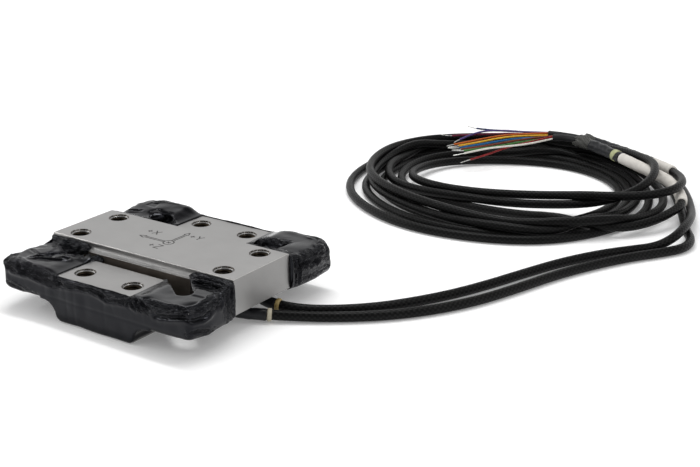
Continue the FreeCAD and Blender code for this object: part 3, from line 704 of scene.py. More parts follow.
for colour, (low, high) in wireColours.items():  # smooth, with a waxy gloss
    finishes["wire_" + colour] = plainSkin("extrudedFluoropolymer_" + colour, low, high, 0.32, 0.003, 0.00003,
                                           IOR=1.38, Specular_IOR_Level=0.35)
print("finishes made", len(finishes))


# cables, sleeves and wires as pieces; sizes in mm

sleevePlan = {
    "bootShare": {"a": 0.5, "b": 0.22},  # how far along the lead's first run the boot ends
    "ringSteps": 3, "markerSteps": (4, 10), "jacketInside": 2,
    "boot": {"diameter": 7.3, "lip": 0.6, "wobble": 0.12, "seed": 3},
    "boot_end": {"diameter": 8.2, "lip": 0.7},
    "label": {"diameter": 8.6, "lip": 0.35, "wobble": 0.1, "seed": 5},
    "shrink": {"diameter": 8.9, "lip": 0.8, "wobble": 0.28, "seed": 7},
    "jacket": {"diameter": 5.4, "bore": 4.2, "lip": 0.8, "wobble": 0.05, "seed": 2},
    "marker": {"diameter": 9.3, "lip": 0.6},
    "braid": {"bore": 8.2, "mouth": 9.8, "wall": 0.35, "seed": {"a": 11, "b": 23},
              "sides": 40, "outRows": 24, "backRows": 16, "backTo": 0.15}}


def roundedSleeve(name, line, diameter, bore, lip, wobble=0.0, seed=1, sides=24):
    # sleeve(s, t): radius rises from the bore to the full radius over a quarter-round lip at both ends,
    # plus a low wobble of three sine waves
    fine = evenly(line, 0.5 * mm)
    run = lineLength(fine)
    edge = np.minimum(run, run[-1] - run)
    rise = np.sqrt(np.clip(1 - (1 - np.clip(edge / (lip * mm), 0, 1)) ** 2, 0, 1))
    radius = (bore + (diameter - bore) * rise) / 2 * mm
    t = roundAngles(sides)
    s = run[:, None] / mm
    wave = np.sin(s * 0.55 + 2 * np.sin(t + seed) + seed) * 0.5
    wave = wave + np.sin(s * 1.3 + 3 * np.cos(t * 2 + seed)) * 0.3
    wave = wave + np.sin(2 * t + s * 0.16 + seed) * 0.4
    return tubeMesh(name, fine, radius[:, None] + wobble * mm * wave * rise[:, None], sides)


def frayedMouth(name, line, plan, seed):
    # braid(u, t): out along the cable with a widening radius to a ragged rim, then back a wall deeper
    side, up = ringFrames(line)
    run = lineLength(line)
    t = roundAngles(plan["sides"])
    ragged = 0.82 + 0.18 * np.sin(2 * t + seed) * np.sin(3 * t)
    ragged = ragged + 0.06 * np.sin(13 * t + 2 * seed) + 0.05 * np.sin(19 * t)
    outRows, backRows = plan["outRows"], plan["backRows"]
    u = np.concatenate([np.linspace(0, 1, outRows), np.linspace(1, plan["backTo"], backRows)])
    wall = np.concatenate([np.zeros(outRows), np.full(backRows, plan["wall"])])
    s = np.clip(u[:, None] * ragged[None], 0, 1) * run[-1]
    wide = plan["bore"] + (plan["mouth"] - plan["bore"]) * np.sin(np.clip(u * 1.25, 0, 1) * np.pi / 2)
    wave = 1 + 0.07 * np.sin(7 * t + 9 * u[:, None] + seed) + 0.05 * np.sin(3 * t + 5 * u[:, None])
    radius = ((wide / 2 - wall)[:, None] * wave * mm)[..., None]

    def at(values):
        return np.stack([np.interp(s, run, values[:, k]) for k in range(3)], -1)

    grid = at(line) + radius * (np.cos(t)[None, :, None] * at(side) + np.sin(t)[None, :, None] * at(up))
    there = np.concatenate([u[:outRows], 2 - u[outRows:]]) * run[-1]
    return gridMesh(name, grid, loop=True, caps=True, run=there)


def placePiece(name, mesh, finish, *replaced, slot=None):
    piece = addPiece(name, mesh)
    setFinish(piece, finishes[finish])
    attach(piece, "root")
    if replaced:
        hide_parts(*replaced)
    return piece


def buildCable(letter, line, plan, sleeves, wires):
    own = plan[letter]
    tail = own["tail"]
    tailStart = len(line) - plan["tailReach"]
    labelStart = tailStart + nearestIndex(line[tailStart:], tail[0])
    labelEnd, shrinkEnd, braidEnd = (tailStart + mark for mark in tailMarks(line[tailStart:], own))
    bootPoint = partWay(own["entry"][-1], own["lead"][0], sleeves["bootShare"][letter])
    bootEnd = nearestIndex(line[:plan["bootReach"]], bootPoint)
    diameter = plan["diameter"]
    path = evenly(line[:shrinkEnd + 1], plan["ringStep"]) * mm
    name = "cable_" + letter
    tube = tubeMesh(name, path, diameter / 2 * mm, plan["sides"])
    cable = placePiece(name, tube, "cable_braid", *own["replaces"])

    def sleeve(kind, first, last, finish, *replaced, slot=None):  # over a stretch of the route
        sizes = {"bore": diameter, **sleeves[kind]}
        mesh = roundedSleeve(kind, line[first:last + 1] * mm, **sizes)
        return placePiece(kind + "_" + letter, mesh, finish, *replaced, slot=slot)

    boot = sleeve("boot", 0, bootEnd, "heat_shrink", "cable_boot_" + letter)
    ring = sleeve("boot_end", bootEnd, bootEnd + sleeves["ringSteps"], own["ringFinish"],
                  "boot_ring_" + letter, slot="ring_plastic")
    label = sleeve("label", labelStart, labelEnd, "label_film", "label_sleeve_" + letter)
    shrink = sleeve("shrink", labelEnd, shrinkEnd, "heat_shrink", "tail_shrink_" + letter)
    mouth = frayedMouth("braid", line[shrinkEnd - 1:braidEnd + 2] * mm, sleeves["braid"],
                        sleeves["braid"]["seed"][letter])
    braid = placePiece("loose_braid_" + letter, mouth, "loose_braid", "braid_end_" + letter,
                       slot="cable_braid")
    jacketStart = braidEnd - sleeves["jacketInside"]
    jacket = sleeve("jacket", jacketStart, len(line) - 1, "jacket", "inner_jacket_" + letter)
    extra = []
    if letter == "a":
        first, last = (labelEnd + step for step in sleeves["markerSteps"])
        extra = [sleeve("marker", first, last, "marker", slot="ring_plastic")]
    buildWires(letter, np.array(tail[4], float), np.array(tail[5], float), wires)


def strandedCore(line, bend, wires):
    # bare end: on from the wire's last step, bent aside by the square of the way along it; its radius has six
    # low ridges, |sin(3 t - twist * s)|, for strands laid in a twist
    onward = line[-1] - line[-2]
    onward /= np.linalg.norm(onward)
    way = np.linspace(-wires["coreInside"], wires["coreLength"], wires["coreRows"])[:, None]
    s = np.linspace(0, 1, wires["coreRows"])[:, None]
    turned = np.cross(onward, upward) * bend[0] + np.array((0, 0, bend[1]))
    tip = line[-1] + onward * way * mm + turned * s ** 2 * mm
    ridges = np.abs(np.sin(3 * roundAngles(wires["coreSides"]) - wires["coreTwist"] * s))
    return tubeMesh("core", tip, wires["coreDiameter"] / 2 * mm * (0.9 + 0.13 * ridges), wires["coreSides"])


def buildWires(letter, before, start, wires):
    heading = (start - before) / np.linalg.norm(start - before)
    across = np.cross(heading, upward)
    across /= np.linalg.norm(across)
    above = np.cross(across, heading)
    pitch = wires["pitch"]
    for index, (colour, route) in enumerate(wires[letter].items()):
        # the wires leave the jacket in two rows
        first = start + across * pitch * (index - 2) / 2 + above * pitch * (0.5 if index % 2 else -0.5)
        points = np.vstack([first, np.array(route, float) + (0, 0, wires["restHeight"])])
        line = evenly(splineLine("wire", points), wires["ringStep"]) * mm
        end = letter + "_" + colour
        tube = tubeMesh("wire_" + end, line, wires["diameter"] / 2 * mm, wires["sides"])
        wire = placePiece("wire_" + end, tube, "wire_" + colour, "conductor_" + end)
        bare = strandedCore(line, wires["coreBend"][index], wires)
        core = placePiece("core_" + end, bare, "tinned", slot="wire_" + colour)


for letter in "ab":
    buildCable(letter, routes[letter], cablePlan, sleevePlan, wirePlan)
print("cables laid")


# the black wraps, in mm: a merged copy of the CAD solid, voxel-remeshed, relaxed and pushed into folds

wrapPlan = {
    "merge": 0.001, "voxel": 0.75, "relax": 4, "relaxFactor": 0.5, "rollStep": 1.0, "rollSides": 24,
    "clear": 0.3, "leastSkin": 0.35, "deepest": 3, "proudest": 4, "floor": 0.02,
    "lump": 0.55, "lumpSizes": (14, 6), "streak": 0.18, "streakSize": 6.0, "streakDraw": 0.16,
    "tapeEdge": 0.9, "tapeAbove": 29, "shiftFrom": 24, "shiftRamp": 3, "tabHalf": 29.5, "tabRamp": 6}

# where the wrap thins out beside the tab's top it is pressed flat, from a start on each side
tabEdge = {"reach": 12.0, "level": 29.3, "share": 0.8, "startRight": 33.0, "startLeft": 38.0, "ramp": 6.0,
           "front": 69.0, "facing": -0.3}

# stuffing is tape pushed into the windows before the remesh: middle line, half width, half height
# folds are drawn on the wrap: line, reach, depth, width of a wrinkle, and whether the wrinkles run
# along the line or crumple all ways
# creases are single lines that the photograph shows: line, depth, half width
# tapes are flat pieces of tape that end on the wrap: corners in plan, how proud they stand
# swells are soft rises and hollows of the whole skin: line, reach, height
# shifts are upper edges that lie further out or higher than in the solid: line in plan, reach, shift
frontWrap = {
    "node": "front_wrap", "side": -1, "seed": 3,
    "stuffing": [
        ([(-38.5, -29.3, 31), (-41.5, -29.6, 31.5), (-45, -30, 31.8), (-50, -30.5, 31.6)], 3.4, 3.0),
        ([(-25.5, -32.6, 27.2), (-33, -35.5, 27.2), (-41, -40, 27.2), (-48, -44, 27.6), (-57, -48.5, 27.6)],
         5.2, 3.6)],
    "folds": [
        # right arm against the bar, curl beside the tab, right rim, right end, low fold at the right
        ([(44, -31, 33.5), (58, -31, 33.5), (73, -32, 33)], 5.5, 1.2, 2.0, "along"),
        ([(28, -67.5, 27.5), (36, -68.2, 26.5), (43, -68.2, 26)], 5.5, 1.3, 2.8, "crumple"),
        ([(44, -66.5, 27), (57, -67, 27), (69, -66, 28), (74, -59, 28), (75, -50, 28.5), (74.5, -42, 28.5)],
         5.2, 1.4, 2.1, "along"),
        ([(75, -32, 16), (75.5, -34, 25), (73.5, -33, 32)], 9.0, 1.3, 2.2, "along"),
        ([(73, -67, 17), (76, -58, 15.5), (76, -48, 14)], 4.0, 0.8, 2.6, "along"),
        # left arm bunched against the bar, left rim
        ([(-62, -31, 33), (-54, -31.5, 33), (-44, -31, 33), (-38, -30.5, 32)], 7.5, 1.9, 3.2, "crumple"),
        ([(-75, -58, 28.5), (-71, -66, 28), (-60, -67, 27.5), (-50, -67, 27.2), (-38, -67.6, 26.4),
          (-29, -68.2, 25)], 5.6, 1.9, 3.0, "crumple"),
        # the tab's front edge
        ([(-27, -68.4, 25), (-13, -68.3, 26), (-1, -68.2, 26.5), (7, -68.4, 26), (13, -68.6, 25),
          (24, -68.5, 25.2), (29, -68, 26.5)], 2.8, 0.8, 1.9, "along"),
        # left end, stuffing in the left window, under the left rim
        ([(-76, -58, 18), (-76, -44, 18), (-75, -33, 20)], 7.0, 0.7, 3.6, "crumple"),
        ([(-28, -32, 30.5), (-36, -36, 30.5), (-44, -38.5, 31), (-50, -38, 31)], 6.0, 2.1, 2.8, "crumple"),
        ([(-72, -68, 16), (-60, -68.4, 14.5), (-48, -68.4, 13)], 3.2, 0.6, 2.4, "along")],
    "creases": [
        ([(45, -67.2, 29.1), (56.5, -67.4, 28.9), (69.8, -65.7, 30.6), (73.4, -57.1, 30.5), (73, -49.6, 30.9),
          (72, -42.2, 31.2)], 1.8, 0.85),
        ([(64, -67.3, 28.5), (71.5, -66.3, 29), (74.6, -57, 28.6)], 1.4, 0.8),
        ([(49.7, -68.7, 22.8), (61.1, -68.7, 24.6), (71.5, -67.9, 27.2), (75.2, -65.5, 24.8),
          (76.3, -58.3, 24), (76.5, -50.6, 26)], 1.6, 1.1),
        ([(45.8, -28.7, 34.5), (57.9, -27.7, 34.7), (71.9, -29.4, 34.3)], 1.6, 0.8),
        ([(50, -34.6, 32), (62.4, -33.8, 32.4), (71, -35, 31.8)], 1.8, 0.85),
        ([(48, -31.8, 33.3), (61, -30.7, 33.6), (70, -31.2, 33.5)], 1.7, 0.8),
        ([(70.1, -31.8, 33.5), (75.1, -36.4, 27.5), (75.8, -35.7, 20.6)], 1.6, 0.9),
        ([(73.1, -40.1, 30.8), (76.6, -42.8, 25.1)], 1.5, 0.9),
        ([(73.8, -30.9, 32.8), (75.2, -32.3, 19.3)], 1.0, 0.9),
        ([(74.3, -67.5, 18), (75.9, -60.8, 16.9), (76.3, -50.1, 14.1)], 0.9, 1.0),
        ([(30, -67.6, 28.3), (33, -68.6, 25), (36, -68.7, 23.5)], 1.2, 0.8),
        ([(34, -67.5, 28.6), (37, -68.5, 25.5), (41, -68.7, 24)], 1.2, 0.8),
        ([(38, -67.3, 29), (41, -68.4, 26.2), (46, -68.7, 25.2)], 1.2, 0.8),
        ([(-27, -68.7, 24.2), (-13, -68.5, 25.7), (-1.2, -68.1, 26.8), (7, -68.5, 25.7), (12, -68.7, 24),
          (23, -68.6, 25.3), (28.3, -68.5, 25.6)], 1.0, 1.0),
        ([(5.2, -68.1, 27), (10.3, -68.5, 25.7), (17.8, -67.9, 27.3)], 0.8, 0.9),
        ([(-71.9, -47.9, 31.2), (-61.3, -51.3, 31.2)], 0.5, 0.8),
        ([(-40, -46.8, 31), (-46, -49.6, 31), (-50.5, -51.2, 31.2), (-55, -53.4, 31.2), (-60.5, -56.7, 31.2)],
         2.6, 1.0),
        ([(-70, -68.3, 26), (-62, -68.2, 25.2), (-52, -68.4, 25.4), (-42, -68.6, 24.2), (-29.5, -68.7, 23.6)],
         1.2, 1.1),
        ([(-66, -62, 31.2), (-60, -65.5, 30.4), (-52, -66, 30)], 0.9, 0.9),
        ([(-70.8, -68.7, 15.6), (-57.1, -67.9, 13.2)], 0.7, 1.0)],
    "tapes": [([(55.6, -38.7), (67.6, -37.8), (71.1, -48.2), (60.2, -48.5)], 0.55),
              ([(-71, -46), (-60, -37), (-57.5, -46), (-62, -52)], 0.4)],
    "swells": [([(-74, -31, 34), (-66, -30, 34.5)], 9.0, -2.6),
               ([(72, -66.5, 31), (73, -62, 31)], 10.0, -1.8),
               ([(-72, -66, 29), (-60, -67, 28)], 8.0, 0.8),
               ([(40, -60, 31), (34, -52, 31)], 10.0, 0.4)],
    "shifts": [([(-77, -69.5), (-76.5, -64)], 6.5, (0.8, 0.5, 2.2)),
               ([(-76, -60), (-75.5, -46)], 6.0, (0, 0, 0.5))]}
backWrap = {
    "node": "back_wrap", "side": 1, "seed": 17,
    "stuffing": [
        ([(-50, 45.5, 27.4), (-54, 47.5, 27.6), (-60, 50.5, 27.3)], 6.5, 3.4),
        ([(-31, 37, 22.4), (-40, 43, 22.8), (-48, 48, 22.8)], 6.2, 3.4),
        ([(33, 37, 24.5), (42, 41.5, 28), (48, 44.5, 28.2), (54, 47.5, 27.6)], 5.8, 3.8)],
    "folds": [
        # right arm against the bar, right end, low fold at the right, right rim
        ([(44, 31, 33.5), (58, 31, 33.5), (73, 32, 33)], 6.0, 1.2, 2.8, "crumple"),
        ([(74, 34, 27), (75.5, 46, 26), (75, 58, 27), (70, 67, 26)], 7.0, 1.6, 3.4, "crumple"),
        ([(76, 34, 17), (76, 46, 16), (75, 60, 17), (72, 66, 15)], 5.0, 0.8, 3.0, "along"),
        ([(30, 68, 26.5), (45, 68, 26.5), (60, 68, 26.5)], 4.5, 1.0, 2.4, "along"),
        # left arm against the bar, left rim, the tab's back edge
        ([(-71, 31, 33), (-58, 31.5, 33), (-44, 31, 33)], 6.0, 1.0, 3.0, "along"),
        ([(-75, 45, 28.5), (-72, 66, 27.5), (-60, 68, 26.5), (-45, 68, 26.5), (-30, 68.2, 25.5)],
         5.0, 1.2, 3.0, "crumple"),
        ([(-29, 68.4, 25), (-10, 68.3, 26), (10, 68.3, 25.5), (29, 68.2, 26)], 2.8, 0.8, 1.9, "along"),
        # stuffing in the left and the right window, left end
        ([(-30, 36, 25.5), (-38, 41, 26), (-46, 46, 26)], 6.0, 2.2, 2.4, "crumple"),
        ([(40, 40.5, 31), (47, 44, 31.5), (54, 47.5, 31)], 6.0, 2.6, 2.4, "crumple"),
        ([(-76, 60, 18), (-76, 44, 18), (-75, 33, 20)], 7.0, 0.7, 3.6, "crumple")],
    "creases": [
        ([(74, 33.5, 30), (75.7, 33.5, 22), (75.8, 33, 13)], 0.9, 0.9),
        ([(74.5, 36, 28), (76, 42, 24), (76.2, 50, 25)], 1.2, 1.0),
        ([(74, 46, 30), (75.5, 52, 27), (74.5, 60, 28)], 1.1, 0.9),
        ([(75.5, 58, 20), (74.5, 64, 17), (70, 68, 18)], 1.0, 1.0),
        ([(60, 64, 31), (68, 63, 31), (72, 56, 31)], 0.8, 0.9),
        ([(-66, 60, 31.2), (-58, 64, 30.4), (-46, 66, 30)], 0.8, 0.9),
        ([(-72, 40, 31.2), (-63, 44, 31.2)], 0.7, 0.9),
        ([(30, 37.5, 32), (36, 42, 32), (43, 42.5, 33), (47, 47, 33)], 2.4, 0.9),
        ([(36, 38, 32), (41, 45, 33), (49, 43.5, 33), (55, 47.5, 32)], 2.4, 0.9),
        ([(43, 39, 32), (46, 44, 33), (53, 51, 32)], 2.0, 0.8)],
    "tapes": [([(-66, 52), (-58, 52), (-60, 58), (-66, 58)], -0.4)],
    "swells": [([(-68, 56, 31), (-56, 59, 31), (-44, 61, 31)], 24.0, 2.3),
               ([(-60, 66, 30), (-40, 67, 30)], 9.0, 0.9),
               ([(44, 59, 31), (54, 59.5, 31), (64, 57, 31), (67, 50, 31)], 24.0, 2.2),
               ([(48, 67, 30), (66, 66, 30)], 9.0, 0.9)],
    "shifts": [([(-31, 36.5), (-44, 46.3)], 8.0, (2.4, 4.0, 0))]}

# the tape's edge is rolled where it ends on the bar's end faces: x and z of the roll, its y, its half width
endRoll = {"line": [(73.6, 13.2), (73.7, 20), (73.7, 28), (73.5, 34.6)], "beside": 28, "half": 1.5}
for wrap, end in itertools.product((frontWrap, backWrap), (-1, 1)):
    rollLine = [(end * x, wrap["side"] * endRoll["beside"], z) for x, z in endRoll["line"]]
    wrap["stuffing"].append((rollLine, endRoll["half"], endRoll["half"]))


def tapeRoll(line, halfWidth, halfHeight, plan):
    # closed oval roll along a line, drawn in towards its ends: size * sqrt(1 - 0.9 share^4)
    path = evenly(splineLine("stuffing", np.array(line, float)), plan["rollStep"])
    rise, run = abs(path[-1] - path[0])[2], np.linalg.norm((path[-1] - path[0])[:2])
    level = (1.0, 0.0, 0.0) if rise > run else upward
    share = np.linspace(-1, 1, len(path))[:, None]
    swell = np.sqrt(np.clip(1 - share ** 4 * 0.9, 0, 1))
    grid = ovalAlong(path, swell * halfWidth, swell * halfHeight, plan["rollSides"], level)
    return gridMesh("stuffing", grid * mm, loop=True, caps=True)


def remeshedCopy(name, node, stuffing, plan):
    # the CAD solid's mesh merged, with rolls of tape in its windows, as one skin of voxels
    work = bmesh.new()
    work.from_mesh(nodes[node].data)
    bmesh.ops.remove_doubles(work, verts=work.verts, dist=plan["merge"] * mm)
    for sizes in stuffing:
        roll = tapeRoll(*sizes, plan)
        work.from_mesh(roll)
        bpy.data.meshes.remove(roll)
    mesh = bpy.data.meshes.new(name)
    work.to_mesh(mesh)
    work.free()
    holder = addPiece(name, mesh)
    voxels = holder.modifiers.new("voxels", "REMESH")
    voxels.mode = "VOXEL"
    voxels.voxel_size = plan["voxel"] * mm
    voxels.use_smooth_shade = True
    relax = holder.modifiers.new("relax", "SMOOTH")
    relax.factor = plan["relaxFactor"]
    relax.iterations = plan["relax"]
    bpy.context.view_layer.update()
    made = bpy.data.meshes.new_from_object(holder.evaluated_get(bpy.context.evaluated_depsgraph_get()))
    bpy.data.objects.remove(holder)
    return made


def nearOnLine(points, normals, line):
    # distance to a line, way along it and signed offset across it on the skin, for all points at once
    line = np.array(line, float)
    best = np.full(len(points), 1e9)
    way, offset = np.zeros(len(points)), np.zeros(len(points))
    for a, b, start in zip(line[:-1], line[1:], lineLength(line)):
        span = np.linalg.norm(b - a)
        t = np.clip((points - a) @ (b - a) / span ** 2, 0, 1)
        apart = points - (a + t[:, None] * (b - a))
        distance = np.linalg.norm(apart, axis=1)
        nearer = distance < best
        best = np.where(nearer, distance, best)
        way = np.where(nearer, start + t * span, way)
        offset = np.where(nearer, (apart * np.cross(normals, (b - a) / span)).sum(1), offset)
    return best, way, offset


def ridged(points, size, seed):  # 0 on flat ground, 1 on the crest of a sharp line
    return (1 - np.abs(2 * cellNoise(points, size, seed) - 1)) ** 3


# sizes of bends and patches in mm; spacing, curl and crest in widths of a wrinkle
foldPlan = {"bendSizes": (7, 3), "bend": 1.3, "spacing": 1.6, "sharpness": 0.7, "patchSize": 9, "patch": 1.6,
            "wave": 1.5, "waveMiddle": 0.62, "stretch": 0.5, "upright": 0.35, "curlSize": 2.2, "curl": 1.5,
            "crestSize": 1.5, "crest": 1.05, "finer": 1.9, "fine": 0.6, "lift": 0.25,
            "lip": 0.55, "lipWidth": 1.2, "taper": 4, "tip": 0.35, "steady": 1.25}


def alongFold(points, way, offset, width, seed, s=foldPlan):
    # |sin| of the offset across the line in wrinkle widths, bent by noise, in patches that come and go
    large, small = s["bendSizes"]
    bend = cellNoise(points, large, seed + 40) + 0.5 * cellNoise(points, small, seed + 45)
    wave = np.abs(np.sin(np.pi * (offset / (s["spacing"] * width) + s["bend"] * bend))) ** s["sharpness"]
    patch = np.clip(s["patch"] * cellNoise(points, s["patchSize"], seed + 70) - 0.15, 0.1, 1)
    return patch * s["wave"] * (wave - s["waveMiddle"])


def crumpleFold(points, way, offset, width, seed, s=foldPlan):
    # sharp crests less sharp troughs of bent noise, twice as long along the line as across it
    flow = np.stack([s["stretch"] * way, offset, s["upright"] * (points[:, 2] - offset)], 1)
    curl = np.stack([cellNoise(points, s["curlSize"] * width, seed + 50 + k) for k in range(3)], 1)
    bent = flow + curl * s["curl"] * width
    size = width * s["crestSize"]
    crest = ridged(bent, size, seed) - ridged(bent + 31.7, size, seed + 20)  # another part of the noise
    fine = ridged(bent * s["finer"] + 7.3, size, seed + 60)
    return s["crest"] * crest - s["fine"] * fine + s["lift"]


# how a fold is worked out, and how bunched up the tape is on it
foldKinds = {"along": (alongFold, 0.45), "crumple": (crumpleFold, 1.0)}


def foldDepth(points, normals, wrap, s=foldPlan):
    # folds fade out smoothly at their reach; a crease is -exp(-(d/w)^2) with a low lip on both sides
    total, bunched = np.zeros(len(points)), np.zeros(len(points))
    for index, (line, reach, depth, width, kind) in enumerate(wrap["folds"]):
        distance, way, offset = nearOnLine(points, normals, line)
        fade = smoothStep(np.clip(s["steady"] * (1 - distance / reach), 0, 1))
        shape, share = foldKinds[kind]
        total += depth * fade * shape(points, way, offset, width, wrap["seed"] + index)
        bunched = np.maximum(bunched, share * fade)
    for line, depth, width in wrap["creases"]:
        distance, way = nearOnLine(points, normals, line)[:2]
        fromEnd = np.minimum(way, lineLength(np.array(line, float))[-1] - way)
        taper = np.clip(fromEnd / s["taper"] + s["tip"], 0, 1)
        lip = s["lip"] * np.exp(-((distance - 2 * width) / (s["lipWidth"] * width)) ** 2)
        total += depth * taper * (lip - np.exp(-(distance / width) ** 2))
    return total, bunched


def insideOf(points, corners, soft):  # 1 inside a convex outline in plan, fading over soft mm
    corners = np.array(corners, float)
    middle = corners.mean(0)
    inside = np.full(len(points), 1e9)
    for a, b in zip(corners, np.roll(corners, -1, 0)):
        normal = np.array([-(b - a)[1], (b - a)[0]]) / np.linalg.norm(b - a)
        side = (points[:, :2] - a) @ normal * np.sign((middle - a) @ normal)
        inside = np.minimum(inside, side)
    return np.clip(inside / soft + 0.5, 0, 1)


def softFade(distance, reach):  # 1 on the line, 0 at the reach
    return smoothStep(np.clip(1 - distance / reach, 0, 1))


def skinPush(points, normals, plan, wrap):
    # lumps, faint lines drawn down the walls, ends of tape, swells and folds, added up along the normal
    seed = wrap["seed"]
    large, small = (cellNoise(points, size, seed + 9 + k) for k, size in enumerate(plan["lumpSizes"]))
    lump = plan["lump"] * 2 * (0.7 * large + 0.3 * small - 0.5)
    upright = np.clip(1 - np.abs(normals[:, 2]) * 2.5, 0, 1)
    drawn = ridged(points * (1, 1, plan["streakDraw"]), plan["streakSize"], seed + 3)
    streak = -plan["streak"] * upright * drawn
    onTop = (normals[:, 2] > 0.5) & (points[:, 2] > plan["tapeAbove"])
    tape = sum(proud * insideOf(points, corners, plan["tapeEdge"]) * onTop
               for corners, proud in wrap["tapes"])
    fold, bunched = foldDepth(points, normals, wrap)
    swell = sum(height * softFade(nearOnLine(points, normals, line)[0], reach)
                for line, reach, height in wrap["swells"])
    return lump + streak + tape + fold + swell, bunched


def shiftEdges(points, normals, plan, shifts):
    # moves the upper part of the skin near a line, by a share that fades with distance and beside the tab
    for line, reach, shift in shifts:
        near = nearOnLine(points * (1, 1, 0), normals, [(*point, 0) for point in line])[0]
        high = np.clip((points[:, 2] - plan["shiftFrom"]) / plan["shiftRamp"], 0, 1)
        offTab = np.clip((np.abs(points[:, 0]) - plan["tabHalf"]) / plan["tabRamp"], 0, 1)
        points = points + (softFade(near, reach) * high * offTab)[:, None] * np.array(shift)
    return points


def pressedHeight(points, normals, plan, edge):
    # z' = level + (z - level) * (1 - share * fade) beside the tab, above its top face only
    x, y, z = points.T
    beside = softFade(np.abs(np.abs(x) - plan["tabHalf"]), edge["reach"])
    fade = np.where(np.abs(y) < edge["front"], beside, 0)
    start = np.where(x > 0, edge["startRight"], edge["startLeft"])
    fade = fade * np.clip((np.abs(y) - start) / edge["ramp"], 0, 1)
    pressed = edge["level"] + (z - edge["level"]) * (1 - edge["share"] * fade)
    return np.where((z > edge["level"]) & (normals[:, 2] > edge["facing"]), pressed, z)


def bvhOf(name):
    data = nodes[name].data
    return BVHTree.FromPolygons([v.co[:] for v in data.vertices], [f.vertices[:] for f in data.polygons])


underSkin = [bvhOf(name) for name in nodes
             if name.startswith(("sensor_body", "gauges", "solder", "cross_lead", "lead_bundle"))]


def buildWrap(name, wrap, plan, edge):
    mesh = remeshedCopy(name, wrap["node"], wrap["stuffing"], plan)
    points, normals = np.empty(3 * len(mesh.vertices)), np.empty(3 * len(mesh.vertices))
    mesh.vertices.foreach_get("co", points)
    mesh.vertices.foreach_get("normal", normals)
    points, normals = points.reshape(-1, 3) / mm, normals.reshape(-1, 3)
    push, bunched = skinPush(points, normals, plan, wrap)
    # the skin stays clear of what is under it, and where it lies on the steel it doesn't move
    gap = np.min([[tree.find_nearest(v.co)[3] for v in mesh.vertices] for tree in underSkin], 0) / mm
    push = np.clip(push, -np.clip(gap - plan["leastSkin"], 0, plan["deepest"]), plan["proudest"])
    points = points + normals * np.where(gap > plan["clear"], push, 0)[:, None]
    points = shiftEdges(points, normals, plan, wrap["shifts"])
    points[:, 2] = np.maximum(pressedHeight(points, normals, plan, edge), plan["floor"])
    mesh.vertices.foreach_set("co", (points * mm).ravel())
    mesh.attributes.new("bunched", "FLOAT", "POINT").data.foreach_set("value", bunched.astype(np.float32))
    mesh.update()
    placePiece(name, mesh, "sealing_wrap", wrap["node"])
    print(name, len(mesh.polygons), "faces")


buildWrap("wrap_front", frontWrap, wrapPlan, tabEdge)
buildWrap("wrap_back", backWrap, wrapPlan, tabEdge)


# cut threads, countersinks' rims, cove and axis sign on the body; sizes in mm

threadPlan = {
    "bore": 10.8, "crest": 9.8, "pitch": 1.954, "start": 1.4, "stepsPerTurn": 40, "sunk": 0.04,
    "profile": (0.46, 0.07, -0.07, -0.46),  # heights on the ridge in pitches
    "rimWidth": (13.24, 11.6), "rimSteps": 49, "film": 0.05, "lip": 0.02, "rimDepth": 0.15,
    # x, y, top, depth to the last turn
    "barHoles": [(x, y, 36.0, 15.5) for x in (-58, 58) for y in (-17.25, 17.25)],
    "tabHoles": [(x, y, 29.0, 27.4) for x in (-19.05, 19.05) for y in (-53.5, 53.5)]}


def threadGrid(x, y, top, depth, plan):
    # ridge of a thread carried down a helix: profile points (radius, height), with the radius drawn back
    # to the bore at both ends
    turns = (depth - plan["start"]) / plan["pitch"]
    a = np.linspace(0, fullTurn * turns, int(turns * plan["stepsPerTurn"]))
    rise = np.clip(np.minimum(a, a[-1] - a) / np.pi, 0, 1)
    outer, inner = plan["bore"] / 2 + plan["sunk"], plan["crest"] / 2
    root, ridge = np.full(len(a), outer), outer + (inner - outer) * rise
    radius = np.stack([root, ridge, ridge, root], 1)
    height = np.array(plan["profile"]) * plan["pitch"]
    z = top - plan["start"] - a[:, None] / fullTurn * plan["pitch"] + height[None]
    return np.stack([x + radius * np.cos(a)[:, None], y - radius * np.sin(a)[:, None], z], -1) * mm


def rimGrid(x, y, top, plan):
    # dark rim of a countersink: the outer part of a 45 degree cone turned round the hole's axis, a film's
    # thickness over the milled one
    outer, inner = (width / 2 for width in plan["rimWidth"])
    radius = np.array([outer, inner, inner + plan["film"], outer])
    under = -plan["rimDepth"]
    z = top + np.array([plan["lip"], plan["film"] + inner - outer, inner - outer + under, under])
    a = np.linspace(0, fullTurn, plan["rimSteps"])[:, None]
    return np.stack([x + radius * np.cos(a), y + radius * np.sin(a), z + 0 * a], -1) * mm


holes = threadPlan["barHoles"] + threadPlan["tabHoles"]
threads = [gridParts(threadGrid(*hole, threadPlan), loop=True, caps=True) for hole in holes]
rims = [gridParts(rimGrid(*hole[:3], threadPlan), loop=True) for hole in holes]
placePiece("tapped_threads", meshOf("threads", threads + rims, smooth=False), "tapped_steel", slot="steel")

# the edge under the bar's cove lies higher than the milled ledge: a strip from the bar's face, edge at y, z
covePlan = {"halfLength": 46.0, "face": 26.5, "sunk": 0.5, "radius": 2.55, "edge": (30.36, 31.3),
            "broken": 0.2, "bottom": 27.0, "rows": 24, "arc": 20}


